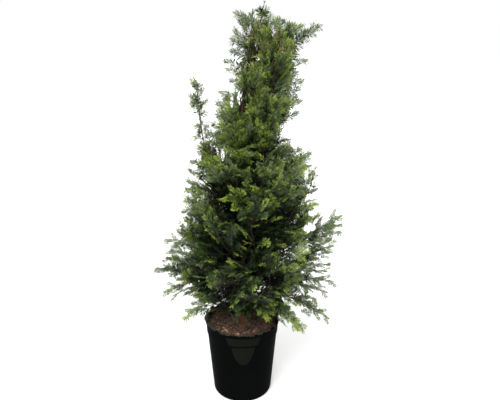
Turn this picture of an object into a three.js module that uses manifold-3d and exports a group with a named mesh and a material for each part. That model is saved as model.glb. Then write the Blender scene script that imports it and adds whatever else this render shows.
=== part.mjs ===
// An English yew grown as a slim, bushy cone in a black nursery pot.
// Millimetres, +Z up. The origin is the centre of the pot's underside; -Y is the front.
// Azimuths are in degrees about +Z: 0 is right (+X), 90 is back, 180 is left, 270 is front.

import * as THREE from "three";
import { mergeVertices } from "three/addons/utils/BufferGeometryUtils.js";
import Module from "manifold-3d";

const wasm = await Module();
wasm.setup();
const toRadians = THREE.MathUtils.degToRad;

// ---------------------------------------------------------------- driving dimensions

const GAP = 0.3; // between pieces that touch

const POT = {
  segments: 32,
  height: 300,
  rimRadius: 140,
  lipDepth: 8, // the rolled lip, top to bottom
  lipProud: 2.5, // how far it stands out of the collar
  lipRound: [0.5, 1.5], // how far its top and its underside slope
  collarDepth: 45, // from the top of the pot to the step under the collar
  collarTaper: 2,
  stepIn: 2.5, // from the collar to the wall under it
  baseRadius: 111,
  edgeRound: 11, // radius of the rounded bottom edge
  wall: 2.4,
  floor: 3,
};
const DRAIN = { count: 6, radius: 6, circle: 82 };
// The raised panel at the front is a plate on the collar and a tongue under the step.
const PANEL = {
  proud: 1.6,
  sunk: 1, // how far it reaches into the wall
  turn: 1.5, // degrees that its middle lies to the right of the front
};
const PLATE = {
  topDrop: 11, // from the top of the pot to its upper edge
  footDrop: 43, // and to its lower edge
  topWidth: 128,
  footWidth: 106,
};
const TONGUE = {
  width: 88,
  foot: 34, // its width near the bottom
  drop: 80,
  waist: [0.84, 34], // the width that its sides curve in at, as a share, and the height of it
  footRound: [8, -6], // how far its bottom corners and its bottom curve lie over its lowest line
};

const SOIL = { sideLevel: 288, crownLevel: 294, flatRadius: 60 };

// Three stems rise from the pot. Each is a cubic curve and tapers evenly from foot to tip.
const ROOT_FLARE = { radius: 8, height: 70 };
const RING_BUNCH = 1.5; // over 1 sets a stem's rings closer together near its foot
const STEMS = {
  trunk: {
    curve: [
      [0, 0, SOIL.crownLevel + GAP],
      [0, 0, 640],
      [-40, -4, 1150],
      [66, 0, 1385],
    ],
    foot: 11.5,
    tip: 1.1,
    sides: 8,
    steps: 14,
  },
  stem_right: {
    curve: [
      [-4, 2, 424],
      [58, 14, 640],
      [72, 12, 1020],
      [146, 0, 1310],
    ],
    foot: 7,
    tip: 2,
    sides: 6,
    steps: 9,
  },
  stem_left: {
    curve: [
      [-4, 2, 470],
      [-70, 12, 610],
      [-112, 10, 860],
      [-138, 0, 1040],
    ],
    foot: 5,
    tip: 1.5,
    sides: 5,
    steps: 7,
  },
};

// How far the crown reaches to the left and right of the pot's axis at each height.
const CROWN = [
  { height: 250, left: 195, right: 245 },
  { height: 320, left: 240, right: 318 },
  { height: 420, left: 302, right: 330 },
  { height: 510, left: 314, right: 335 },
  { height: 620, left: 300, right: 350 },
  { height: 700, left: 250, right: 358 },
  { height: 780, left: 222, right: 305 },
  { height: 880, left: 204, right: 285 },
  { height: 960, left: 160, right: 252 },
  { height: 1050, left: 106, right: 192 },
  { height: 1150, left: 66, right: 202 },
  { height: 1270, left: 44, right: 228 },
  { height: 1390, left: 26, right: 270 },
];
const CROWN_DEPTH = 0.92; // the crown's reach to the front and back, as a share of its half width
// The lowest that foliage hangs: a height at the trunk, and its rise per mm away from it.
const HEM = { trunk: 312, front: 0.56, back: 0.1, left: -0.06, right: -0.2 };
const HEM_ROOM = 42; // from the hem up to a limb's end
const TIP_ROOM = 42; // from a limb's end to the outline, which its last shoot reaches

// Tiers of limbs: `count` limbs leave `stem` at height `from` and end at height `to`, near the
// crown's outline. `turn` is the first one's azimuth, they stand evenly over `span` degrees (all
// round where it isn't given), and `arch` is how far a limb bows upwards. `bough` is the share
// of a limb that is a bough of its own, and `bare` the share of its mass's stem without shoots.
const TIERS = [
  { name: "skirt", stem: "trunk", from: 340, to: 350, count: 5, turn: -90, arch: 30, bare: 0.2 },
  { name: "low", stem: "trunk", from: 385, to: 500, count: 5, turn: 180, arch: 20, bough: 0.3 },
  { name: "broad", stem: "trunk", from: 455, to: 670, count: 6, turn: 0, arch: 8, bare: 0.1 },
  { name: "waist", stem: "trunk", from: 570, to: 790, count: 5, turn: -90, arch: 0 },
  { name: "shoulder", stem: "trunk", from: 700, to: 915, count: 5, turn: 18, arch: -8 },
  { name: "neck", stem: "trunk", from: 880, to: 1060, count: 4, turn: 100, span: 240, arch: -8 },
  { name: "upper", stem: "trunk", from: 1030, to: 1190, count: 4, turn: 130, span: 220, arch: -6 },
  { name: "top", stem: "trunk", from: 1170, to: 1318, count: 3, turn: 110, span: 165, arch: -6 },
  {
    name: "right",
    stem: "stem_right",
    from: 860,
    to: 1070,
    count: 3,
    turn: -60,
    span: 180,
    arch: -6,
    bare: 0.2,
  },
  {
    name: "plume",
    stem: "stem_right",
    from: 1090,
    to: 1285,
    count: 4,
    turn: -85,
    span: 220,
    arch: -10,
  },
];
const TIER_STAGGER = 19; // each limb of a tier starts a little higher or lower than the last
// Tufts carry a stem on from its tip. `lean` is how far one reaches, and `size` its shoots'
// share of a full one.
const TUFTS = [
  { name: "leader_tip", stem: "trunk", lean: [8, 0, 26], size: 0.34 },
  { name: "plume_tip", stem: "stem_right", lean: [14, 0, 44], size: 0.46 },
  { name: "left_tuft", stem: "stem_left", lean: [-8, 0, 112], size: 0.42 },
];

// A limb is no thicker at its foot than a share of the stem that it grows from.
const LIMB = { foot: 5.6, share: 0.55, tip: 1.3, sides: 5, steps: 2 };
const CORE = {
  // the dense heart of a mass, round its stem
  radius: 64, // to the teeth of its fins
  valley: 0.46, // the hollows between fins, as a share of that
  notch: 0.52, // and the notches between teeth
  rough: 0.22, // how unevenly it swells
  blunt: 0.4, // under 1 makes its ends blunter
  foot: 0.02, // where on the stem it starts to swell, as a share of it
  tip: 0.94,
  fins: 4,
  steps: 5,
  fullness: [1, 0.85, 0.7, 0.5], // tried in turn
  probe: 3, // between the places that are tried outwards for the free space
};
const SHOOT = {
  spacing: 34, // along a mass's stem
  fewest: 3,
  first: 0.04, // where on the stem they start, as a share of it
  length: 138, // at the stem's foot
  uneven: 0.2, // how much longer or shorter one may be, as a share
  shorten: 0.36, // how much of the length is lost at the stem's tip
  open: 62, // degrees from the stem, at its foot
  openUneven: 14,
  close: 24, // how much narrower at its tip
  spread: 150, // degrees that shoots of a level stem roll out of its flat spray
  steep: 0.8, // the rise per mm over which a stem has shoots all round
  spiral: 137.5, // degrees from one of those to the next
  spiralUneven: 40,
  tilt: 100, // degrees that a blade's flat side turns from facing up
  width: 38,
  slim: 0.55, // the most that its width is of its length
  short: 130, // a shorter spray has fewer teeth
  rib: 2.1, // half the thickness of the blade's rib
  root: 14, // how far its blade is sunk in the core
  least: 62, // the shortest that stands out of the core, before it is tried shorter
};
// The last shoot of a mass carries its stem on to the crown's outline.
const LAST_SHOOT = { share: 0.97, open: 6, length: 1.3 * TIP_ROOM };
const CLEAR = 1.6; // between one mass's space and the next, and round every limb
const LIMB_CLEAR = 2.6; // from a shoot to a limb's side
const POT_CLEAR = { above: 8, outside: 6 }; // from a shoot to the pot's rim
const CELL_STEP = 14; // between the points that stand for a mass's stem
const WOOD_STEP = 8; // between the points that stand for a bare stem or bough
// A shoot that doesn't fit is turned round the stem, then tried shorter, then skipped.
const TURNS = [0, 40, -40, 80, -80];
const SIZES = [1, 0.8, 0.6];

// ---------------------------------------------------------------- seeded numbers

// The same seed always gives the same run of numbers from 0 to 1.
function randomSource(seed) {
  let state = Math.imul(seed + 1, 0x9e3779b1) >>> 0;
  return () => {
    state = (state + 0x6d2b79f5) >>> 0;
    let bits = Math.imul(state ^ (state >>> 15), state | 1);
    bits = (bits + Math.imul(bits ^ (bits >>> 7), bits | 61)) ^ bits;
    return ((bits ^ (bits >>> 14)) >>> 0) / 4294967296;
  };
}

// ---------------------------------------------------------------- solids

function solidOf(geometry) {
  geometry.deleteAttribute("normal");
  geometry.deleteAttribute("uv");
  const merged = mergeVertices(geometry, 1e-3);
  return new wasm.Manifold(
    new wasm.Mesh({
      numProp: 3,
      vertProperties: merged.attributes.position.array,
      triVerts: new Uint32Array(merged.index.array),
    }),
  );
}

// The largest outer body, without loose scraps or sealed hollows.
function largestBody(solid) {
  const bodies = solid.decompose();
  return bodies.reduce((best, body) => (body.volume() > best.volume() ? body : best));
}

function geometryOf(solid) {
  const { numProp, vertProperties, triVerts } = solid.getMesh();
  const positions = new Float32Array(triVerts.length * 3);
  triVerts.forEach((vertex, i) => {
    positions.set(vertProperties.subarray(vertex * numProp, vertex * numProp + 3), i * 3);
  });
  const geometry = new THREE.BufferGeometry();
  geometry.setAttribute("position", new THREE.BufferAttribute(positions, 3));
  geometry.computeVertexNormals();
  return geometry;
}

// A closed rod along a curve: a cylinder whose rings are moved on to it. Its radius may change
// along the curve and round it, and its rings may bunch towards its foot.
function rodAlong(curve, radiusAt, sides, steps, across, bunch = 1) {
  const geometry = new THREE.CylinderGeometry(1, 1, 1, sides, steps);
  geometry.deleteAttribute("normal");
  geometry.deleteAttribute("uv");
  const merged = mergeVertices(geometry);
  const position = merged.attributes.position;
  for (let i = 0; i < position.count; i++) {
    const share = (position.getY(i) + 0.5) ** bunch;
    const turn = Math.atan2(position.getX(i), position.getZ(i)) / (2 * Math.PI);
    const side = Math.round(sides * (turn + 1)) % sides;
    const ring = Math.round(steps * (position.getY(i) + 0.5));
    const forward = curve.getTangent(share);
    const level = new THREE.Vector3().crossVectors(across, forward).normalize();
    const up = new THREE.Vector3().crossVectors(forward, level);
    const away = up.multiplyScalar(position.getX(i)).addScaledVector(level, position.getZ(i));
    const point = curve.getPoint(share);
    const onRing = away.length() > 0.5; // and not the middle of an end
    if (onRing) point.addScaledVector(away, radiusAt(share, away.clone(), side, ring));
    position.setXYZ(i, point.x, point.y, point.z);
  }
  return solidOf(merged);
}

// ---------------------------------------------------------------- the pot and what fills it

function potRadiusAt(height) {
  const top = POT.rimRadius - POT.lipProud;
  const stepTop = POT.height - POT.collarDepth;
  if (height >= stepTop) {
    return top - (POT.collarTaper * (POT.height - height)) / POT.collarDepth;
  }
  const wallTop = top - POT.collarTaper - POT.stepIn;
  return POT.baseRadius + ((wallTop - POT.baseRadius) * height) / stepTop;
}

function lathe(profile) {
  const points = profile.map(([radius, height]) => new THREE.Vector2(radius, height));
  return solidOf(new THREE.LatheGeometry(points, POT.segments).rotateX(Math.PI / 2));
}

// The inside is one straight cone, from under the lip to the floor.
function potInsideAt(height) {
  const top = potRadiusAt(POT.height) - POT.wall;
  const foot = potRadiusAt(POT.edgeRound) - POT.wall;
  return THREE.MathUtils.mapLinear(height, POT.edgeRound, POT.height, foot, top);
}

function potShell() {
  const stepTop = POT.height - POT.collarDepth;
  const stepFoot = stepTop - POT.stepIn;
  const lipFoot = POT.height - POT.lipDepth;
  const edge = [0, 45, 90].map((degrees) => {
    const angle = toRadians(degrees);
    const centre = potRadiusAt(POT.edgeRound) - POT.edgeRound;
    return [
      centre + POT.edgeRound * Math.sin(angle),
      POT.edgeRound * (1 - Math.cos(angle)),
    ];
  });
  return lathe([
    [0, 0],
    ...edge,
    [potRadiusAt(stepFoot), stepFoot],
    [potRadiusAt(stepTop), stepTop],
    [potRadiusAt(lipFoot), lipFoot],
    [POT.rimRadius, lipFoot + POT.lipRound[1]],
    [POT.rimRadius - POT.lipRound[0], POT.height],
    [potInsideAt(POT.height), POT.height],
    [potInsideAt(POT.edgeRound), POT.edgeRound],
    [potInsideAt(POT.edgeRound) - POT.edgeRound + POT.floor, POT.floor],
    [0, POT.floor],
  ]);
}

// A raised panel: a thicker stretch of the pot's side, cut to an outline seen from the front.
function raisedPanel(outline, foot, top) {
  const skin = (height, offset) => [potRadiusAt(height) + offset, height];
  const thick = lathe([
    skin(foot, PANEL.proud),
    skin(top, PANEL.proud),
    skin(top, -PANEL.sunk),
    skin(foot, -PANEL.sunk),
    skin(foot, PANEL.proud),
  ]);
  const cutter = new THREE.ExtrudeGeometry(outline, {
    depth: POT.rimRadius,
    bevelEnabled: false,
    curveSegments: 4,
  })
    .rotateX(Math.PI / 2)
    .rotateZ(toRadians(PANEL.turn));
  return thick.intersect(solidOf(cutter));
}

function platePanel() {
  const top = POT.height - PLATE.topDrop;
  const foot = POT.height - PLATE.footDrop;
  const outline = new THREE.Shape();
  outline.moveTo(-PLATE.topWidth / 2, top);
  outline.lineTo(-PLATE.footWidth / 2, foot);
  outline.lineTo(PLATE.footWidth / 2, foot);
  outline.lineTo(PLATE.topWidth / 2, top);
  outline.closePath();
  return raisedPanel(outline, foot, top);
}

function tonguePanel() {
  const top = POT.height - POT.collarDepth - POT.stepIn;
  const foot = top - TONGUE.drop;
  const [cornerRise, bottomRise] = TONGUE.footRound;
  const side = TONGUE.width / 2;
  const waist = side * TONGUE.waist[0];
  const waistHeight = foot + TONGUE.waist[1];
  const corner = TONGUE.foot / 2;
  const cornerHeight = foot + cornerRise;
  const outline = new THREE.Shape();
  outline.moveTo(-side, top);
  outline.quadraticCurveTo(-waist, waistHeight, -corner, cornerHeight);
  outline.quadraticCurveTo(0, foot + bottomRise, corner, cornerHeight);
  outline.quadraticCurveTo(waist, waistHeight, side, top);
  outline.closePath();
  return raisedPanel(outline, foot + bottomRise, top);
}

function buildPot() {
  let pot = potShell().add(platePanel()).add(tonguePanel());
  for (let i = 0; i < DRAIN.count; i++) {
    const angle = ((i + 0.5) * 2 * Math.PI) / DRAIN.count;
    const hole = new THREE.CylinderGeometry(DRAIN.radius, DRAIN.radius, 4 * POT.floor, 8)
      .rotateX(Math.PI / 2)
      .translate(DRAIN.circle * Math.cos(angle), DRAIN.circle * Math.sin(angle), 0);
    pot = pot.subtract(solidOf(hole));
  }
  return largestBody(pot);
}

function buildSoil() {
  const side = (height) => potInsideAt(height) - GAP;
  const floor = POT.floor + GAP;
  return lathe([
    [0, floor],
    [side(POT.edgeRound) - POT.edgeRound + floor, floor],
    [side(POT.edgeRound), POT.edgeRound + GAP],
    [side(SOIL.sideLevel), SOIL.sideLevel],
    [SOIL.flatRadius, SOIL.crownLevel],
    [0, SOIL.crownLevel],
  ]);
}

// ---------------------------------------------------------------- stems and limbs

const stemCurves = Object.fromEntries(
  Object.entries(STEMS).map(([name, stem]) => [
    name,
    new THREE.CubicBezierCurve3(...stem.curve.map((point) => new THREE.Vector3(...point))),
  ]),
);

function stemRadius(name, share) {
  const { foot, tip } = STEMS[name];
  const even = foot + (tip - foot) * share;
  if (name !== "trunk") return even;
  const height = stemCurves.trunk.getPoint(share).z - SOIL.crownLevel;
  return even + ROOT_FLARE.radius * Math.max(0, 1 - height / ROOT_FLARE.height) ** 2;
}

// The share of a stem's curve at which it passes a height.
function shareAtHeight(name, height) {
  let low = 0;
  let high = 1;
  for (let i = 0; i < 30; i++) {
    const middle = (low + high) / 2;
    if (stemCurves[name].getPoint(middle).z < height) low = middle;
    else high = middle;
  }
  return low;
}

function stemRod(name, grown) {
  const { sides, steps } = STEMS[name];
  const across = new THREE.Vector3(0, 1, 0);
  return rodAlong(
    stemCurves[name],
    (share) => stemRadius(name, share) + grown,
    sides,
    steps,
    across,
    RING_BUNCH,
  );
}

// The lowest that foliage hangs where a place lies.
function hemAt(place) {
  const away = Math.hypot(place.x, place.y);
  const sideways = (place.x / Math.max(away, 1)) ** 2;
  const side = place.x < 0 ? HEM.left : HEM.right;
  const end = place.y < 0 ? HEM.front : HEM.back;
  return HEM.trunk + away * THREE.MathUtils.lerp(end, side, sideways);
}

// Where a limb ends: a little inside the crown's outline and above its hem.
function crownPoint(height, azimuth) {
  const above = CROWN.findIndex((row) => row.height > height);
  const high = CROWN[above];
  const low = CROWN[above - 1];
  const share = (height - low.height) / (high.height - low.height);
  const left = THREE.MathUtils.lerp(low.left, high.left, share);
  const right = THREE.MathUtils.lerp(low.right, high.right, share);
  const reach = (left + right) / 2 - TIP_ROOM;
  const angle = toRadians(azimuth);
  const end = new THREE.Vector3(
    (right - left) / 2 + reach * Math.cos(angle),
    reach * CROWN_DEPTH * Math.sin(angle),
    height,
  );
  end.z = Math.max(height, hemAt(end) + HEM_ROOM);
  return end;
}

// Every limb: where it leaves its stem, the curve it follows and the share that is bare bough.
function planLimbs() {
  const limbs = [];
  for (const tier of TIERS) {
    for (let i = 0; i < tier.count; i++) {
      const middleRank = (tier.count - 1) / 2;
      const stagger = TIER_STAGGER * (((i * 2 + middleRank) % tier.count) - middleRank);
      const azimuth = tier.turn + ((tier.span ?? 360) * i) / tier.count;
      const share = shareAtHeight(tier.stem, tier.from + stagger);
      const start = stemCurves[tier.stem].getPoint(share);
      const end = crownPoint(tier.to + stagger, azimuth);
      const middle = start.clone().lerp(end, 0.5);
      middle.z += tier.arch * 2;
      limbs.push({
        name: `${tier.name}_${i + 1}`,
        stem: tier.stem,
        curve: new THREE.QuadraticBezierCurve3(start, middle, end),
        foot: Math.min(LIMB.foot, LIMB.share * stemRadius(tier.stem, share)),
        bough: tier.bough ?? 0,
        bare: tier.bare ?? SHOOT.first,
        size: 1,
        seed: limbs.length,
      });
    }
  }
  for (const tuft of TUFTS) {
    const curve = stemCurves[tuft.stem];
    const out = curve.getTangent(1);
    const start = curve.getPoint(1).addScaledVector(out, GAP);
    const lean = new THREE.Vector3(...tuft.lean);
    const end = start.clone().add(lean);
    const middle = start.clone().addScaledVector(out, lean.length() / 2);
    limbs.push({
      name: tuft.name,
      stem: tuft.stem,
      curve: new THREE.QuadraticBezierCurve3(start, middle, end),
      foot: STEMS[tuft.stem].tip,
      bough: 0,
      bare: SHOOT.first,
      size: tuft.size,
      seed: limbs.length,
    });
  }
  return limbs;
}

const limbs = planLimbs();

function limbRadius(limb, share) {
  return THREE.MathUtils.lerp(limb.foot, LIMB.tip, share);
}

// The stretch of a limb's curve from one share to another, as a curve of its own. Its middle
// control point is de Casteljau's: it mixes the curve's own three by both shares.
function stretch(curve, from, to) {
  const middle = curve.v0
    .clone()
    .multiplyScalar((1 - from) * (1 - to))
    .addScaledVector(curve.v1, from * (1 - to) + to * (1 - from))
    .addScaledVector(curve.v2, from * to);
  return new THREE.QuadraticBezierCurve3(curve.getPoint(from), middle, curve.getPoint(to));
}

// The level direction across a limb.
function limbAcross(limb) {
  const out = limb.curve.v2.clone().sub(limb.curve.v0);
  return new THREE.Vector3(-out.y, out.x, 0).normalize();
}

function boughRod(limb, grown) {
  const curve = stretch(limb.curve, 0, limb.bough);
  const radiusAt = (share) => limbRadius(limb, limb.bough * share) + grown;
  return rodAlong(curve, radiusAt, LIMB.sides, LIMB.steps, limbAcross(limb));
}

// ---------------------------------------------------------------- the space each mass keeps to

function stemPoints(limb) {
  const curve = stretch(limb.curve, limb.bough, 1);
  const count = Math.max(3, Math.round(curve.getLength() / CELL_STEP));
  return curve.getPoints(count);
}

const massPoints = limbs.map(stemPoints);

// The stems and the boughs, which no shoot may touch, as points with a radius.
const wood = [];
for (const name of Object.keys(STEMS)) {
  const count = Math.round(stemCurves[name].getLength() / WOOD_STEP);
  for (let i = 0; i <= count; i++) {
    const share = i / count;
    wood.push({ point: stemCurves[name].getPoint(share), radius: stemRadius(name, share) });
  }
}
for (const limb of limbs.filter((each) => each.bough)) {
  const count = Math.round((limb.curve.getLength() * limb.bough) / WOOD_STEP);
  for (let i = 0; i <= count; i++) {
    const share = (limb.bough * i) / count;
    wood.push({ point: limb.curve.getPoint(share), radius: limbRadius(limb, share) });
  }
}

function nearest(points, place) {
  return Math.min(...points.map((point) => point.distanceTo(place)));
}

// Whether a place is the mass's own: over the hem, clear of the pot and of every limb, and
// nearer its stem than any other mass's.
function isFree(place, own) {
  if (place.z < hemAt(place)) return false;
  const low = place.z < POT.height + POT_CLEAR.above;
  const away = Math.hypot(place.x, place.y);
  if (low && away < POT.rimRadius + POT_CLEAR.outside) return false;
  if (wood.some(({ point, radius }) => point.distanceTo(place) < radius + LIMB_CLEAR)) {
    return false;
  }
  const mine = nearest(massPoints[own], place);
  return massPoints.every(
    (points, i) => i === own || nearest(points, place) > mine + 2 * CLEAR,
  );
}

// ---------------------------------------------------------------- sprays of needles

// Half of a spray's outline, from its foot to its tip: forward teeth and the notches between
// them, as shares of its length and of half its width. A short spray has fewer teeth.
const LONG_EDGE = [
  [0.36, 0.84],
  [0.38, 0.34],
  [0.68, 1],
  [0.69, 0.34],
  [0.96, 0.66],
];
const SHORT_EDGE = [
  [0.46, 1],
  [0.49, 0.36],
  [0.88, 0.8],
];
const SPRAY_CREST = 0.46; // where along the spray its rib is thickest

function edgeOf(length) {
  return length < SHOOT.short ? SHORT_EDGE : LONG_EDGE;
}

// One spray as a thin toothed blade along +X that thins from its rib to its edges.
function sprayGeometry(length, width, rib) {
  const positions = [];
  const foot = [0, 0, 0];
  const tip = [length, 0, 0];
  for (const side of [1, -1]) {
    const edge = edgeOf(length).map(([x, y]) => [x * length, (y * side * width) / 2, 0]);
    const outline = [foot, ...edge, tip];
    for (const top of [1, -1]) {
      const crest = [SPRAY_CREST * length, 0, rib * top];
      for (let i = 0; i + 1 < outline.length; i++) {
        const pair = [outline[i], outline[i + 1]];
        if (side * top > 0) pair.reverse();
        positions.push(...pair[0], ...pair[1], ...crest);
      }
    }
  }
  const geometry = new THREE.BufferGeometry();
  geometry.setAttribute("position", new THREE.Float32BufferAttribute(positions, 3));
  return geometry;
}

// The shoots of one mass, along its stem. Shoot k rolls to alternate sides of a level stem, and
// all round a steep one. Its numbers come from the limb's seed and k alone.
function planShoots(limb, curve) {
  const leafy = curve.getLength() * (1 - limb.bare);
  const spacing = SHOOT.spacing * Math.sqrt(limb.size);
  const count = Math.max(SHOOT.fewest, Math.round(leafy / spacing));
  const shoots = [];
  for (let k = 0; k < count; k++) {
    const random = randomSource(limb.seed * 100 + k);
    const share = limb.bare + ((1 - limb.bare) * (k + 0.5)) / count;
    const flatRoll = (k % 2 ? 180 : 0) + (random() - 0.5) * SHOOT.spread;
    const roundRoll = k * SHOOT.spiral + (random() - 0.5) * SHOOT.spiralUneven;
    const full = SHOOT.length * limb.size * (1 - SHOOT.shorten * share);
    shoots.push({
      share,
      roll: curve.getTangent(share).z > SHOOT.steep ? roundRoll : flatRoll,
      open: SHOOT.open - SHOOT.close * share + (random() - 0.5) * SHOOT.openUneven,
      length: full * (1 + SHOOT.uneven * (2 * random() - 1)),
      tilt: (random() - 0.5) * SHOOT.tilt,
    });
  }
  shoots.push({ ...LAST_SHOOT, length: LAST_SHOOT.length * limb.size, roll: 0, tilt: 0 });
  return shoots;
}

// The way a shoot grows from its stem.
function shootDirection(curve, { share, roll, open }, turn) {
  const forward = curve.getTangent(share);
  const side = new THREE.Vector3(-forward.y, forward.x, 0).normalize();
  return forward
    .clone()
    .applyAxisAngle(new THREE.Vector3().crossVectors(forward, side), toRadians(open))
    .applyAxisAngle(forward, toRadians(roll + turn));
}

// Where a blade lies: along its shoot, its flat side facing up but for its tilt.
function bladeMatrix(foot, direction, tilt) {
  const upright = Math.abs(direction.z) > 0.9;
  const up = upright ? new THREE.Vector3(0, 1, 0) : new THREE.Vector3(0, 0, 1);
  const across = new THREE.Vector3().crossVectors(up, direction).normalize();
  across.applyAxisAngle(direction, toRadians(tilt));
  const normal = new THREE.Vector3().crossVectors(direction, across);
  return new THREE.Matrix4().makeBasis(direction, across, normal).setPosition(foot);
}

// Whether a blade's tip, its middle and the points of its edge all lie in its mass's space.
function fits(matrix, length, width, own) {
  const places = [[length, 0], [length * 0.5, 0]];
  for (const [x, y] of edgeOf(length)) {
    places.push([x * length, (y * width) / 2], [x * length, (-y * width) / 2]);
  }
  return places.every(([x, y]) =>
    isFree(new THREE.Vector3(x, y, 0).applyMatrix4(matrix), own),
  );
}

// A mass's stem, swollen wherever the space round it is free into a core with toothed fins.
function swellStem(limb, stem, own, fullness) {
  const random = randomSource(limb.seed * 100 + 99);
  const radiusAt = (share, away, side, ring) => {
    const thin = limbRadius(limb, limb.bough + (1 - limb.bough) * share);
    const foot = Math.max(CORE.foot, limb.bare);
    const swell = (share - foot) / (CORE.tip - foot);
    if (swell <= 0 || swell >= 1) return thin;
    const even = CORE.radius * fullness * Math.sin(Math.PI * swell) ** CORE.blunt;
    const tooth = (ring + side / 2) % 2 ? 1 : CORE.notch;
    const shape = side % 2 ? CORE.valley : tooth;
    const wanted = even * shape * (1 + CORE.rough * (2 * random() - 1));
    const point = stem.getPoint(share);
    for (let radius = thin; ; radius += CORE.probe) {
      const further = point.clone().addScaledVector(away, radius + CORE.probe);
      if (radius + CORE.probe >= wanted || !isFree(further, own)) return radius;
    }
  };
  return rodAlong(stem, radiusAt, 2 * CORE.fins, CORE.steps, limbAcross(limb));
}

// Whether a solid overlaps any of the others, tried by their boxes first.
function touches(solid, others) {
  const { min, max } = solid.boundingBox();
  return others.some((other) => {
    const box = other.boundingBox();
    const apart = [0, 1, 2].some((i) => box.max[i] < min[i] || box.min[i] > max[i]);
    return !apart && !solid.intersect(other).isEmpty();
  });
}

// The stem and core of every mass, cut clear of the limbs. One that would touch another is
// made less full.
function buildCores(rods) {
  const cores = [];
  limbs.forEach((limb, own) => {
    const gap = limb.bough ? GAP / limb.curve.getLength() : 0;
    const stem = stretch(limb.curve, limb.bough + gap, 1);
    for (const fullness of CORE.fullness) {
      const whole = swellStem(limb, stem, own, fullness * limb.size);
      cores[own] = largestBody(rods.reduce((solid, rod) => solid.subtract(rod), whole));
      if (!touches(cores[own], cores.slice(0, own))) break;
    }
  });
  return cores;
}

// A shoot's blade, rooted in the core's skin.
function growShoot(limb, stem, skin, shoot, own, others) {
  for (const size of SIZES) {
    for (const turn of TURNS) {
      const start = stem.getPoint(shoot.share);
      const direction = shootDirection(stem, shoot, turn);
      const hits = new THREE.Raycaster(start, direction).intersectObject(skin);
      const inside = hits.length ? hits.at(-1).distance : 0;
      const foot = start.addScaledVector(direction, Math.max(0, inside - SHOOT.root));
      const outside = Math.max(shoot.length - inside, SHOOT.least * limb.size);
      const length = outside * size + SHOOT.root;
      const width = Math.min(SHOOT.width, SHOOT.slim * length);
      const matrix = bladeMatrix(foot, direction, shoot.tilt);
      if (!fits(matrix, length, width, own)) continue;
      const bladeWith = (room) => {
        const spray = sprayGeometry(length + room, width + 2 * room, SHOOT.rib + room);
        return solidOf(spray.applyMatrix4(matrix));
      };
      const blade = bladeWith(0);
      if (!touches(bladeWith(CLEAR), others) && !touches(blade, others)) return blade;
    }
  }
  return null;
}

// Every mass: its core with the blades of its shoots fused on.
function buildMasses() {
  const rods = Object.keys(STEMS).map((name) => stemRod(name, GAP));
  rods.push(...limbs.filter((limb) => limb.bough).map((limb) => boughRod(limb, GAP)));
  const masses = buildCores(rods);
  limbs.forEach((limb, own) => {
    const stem = stretch(limb.curve, limb.bough, 1);
    const skin = new THREE.Mesh(
      geometryOf(masses[own]),
      new THREE.MeshBasicMaterial({ side: THREE.DoubleSide }),
    );
    const others = [...masses.filter((mass, i) => i !== own), ...rods];
    for (const shoot of planShoots(limb, stem)) {
      const blade = growShoot(limb, stem, skin, shoot, own, others);
      if (blade) masses[own] = masses[own].add(blade);
    }
    masses[own] = largestBody(masses[own]);
  });
  return masses;
}

// ---------------------------------------------------------------- materials and assembly

const materials = {
  pot: new THREE.MeshStandardMaterial({ color: 0x141514, roughness: 0.42, metalness: 0 }),
  soil: new THREE.MeshStandardMaterial({ color: 0x4a3426, roughness: 0.95, metalness: 0 }),
  bark: new THREE.MeshStandardMaterial({ color: 0x6b4a35, roughness: 0.85, metalness: 0 }),
  needles: new THREE.MeshStandardMaterial({ color: 0x4a5f2c, roughness: 0.6, metalness: 0 }),
};

const yew = new THREE.Group();

function addPiece(name, solid, material) {
  const mesh = new THREE.Mesh(geometryOf(solid), material);
  mesh.name = name;
  yew.add(mesh);
}

// A limb's foot is cut off a gap short of the trunk.
function clearOfTrunk(solid) {
  return largestBody(solid.subtract(stemRod("trunk", GAP)));
}

addPiece("pot", buildPot(), materials.pot);
addPiece("soil", buildSoil(), materials.soil);
addPiece("trunk", stemRod("trunk", 0), materials.bark);
for (const name of ["stem_right", "stem_left"]) {
  addPiece(name, clearOfTrunk(stemRod(name, 0)), materials.bark);
}
const masses = buildMasses();
limbs.forEach((limb, own) => {
  if (limb.bough) {
    addPiece(`bough_${limb.name}`, clearOfTrunk(boughRod(limb, 0)), materials.bark);
  }
  addPiece(`foliage_${limb.name}`, masses[own], materials.needles);
});

export default yew;
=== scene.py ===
"""The looks of an English yew in a nursery pot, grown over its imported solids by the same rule.

Lengths are in millimetres until a mesh is made, +Z is up and -Y is the front. Azimuths are in
degrees about +Z: 0 is right, 90 is back, 180 is left and 270 is front.
"""

import math
from functools import partial

import bpy
import numpy as np
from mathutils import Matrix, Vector, noise


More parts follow.
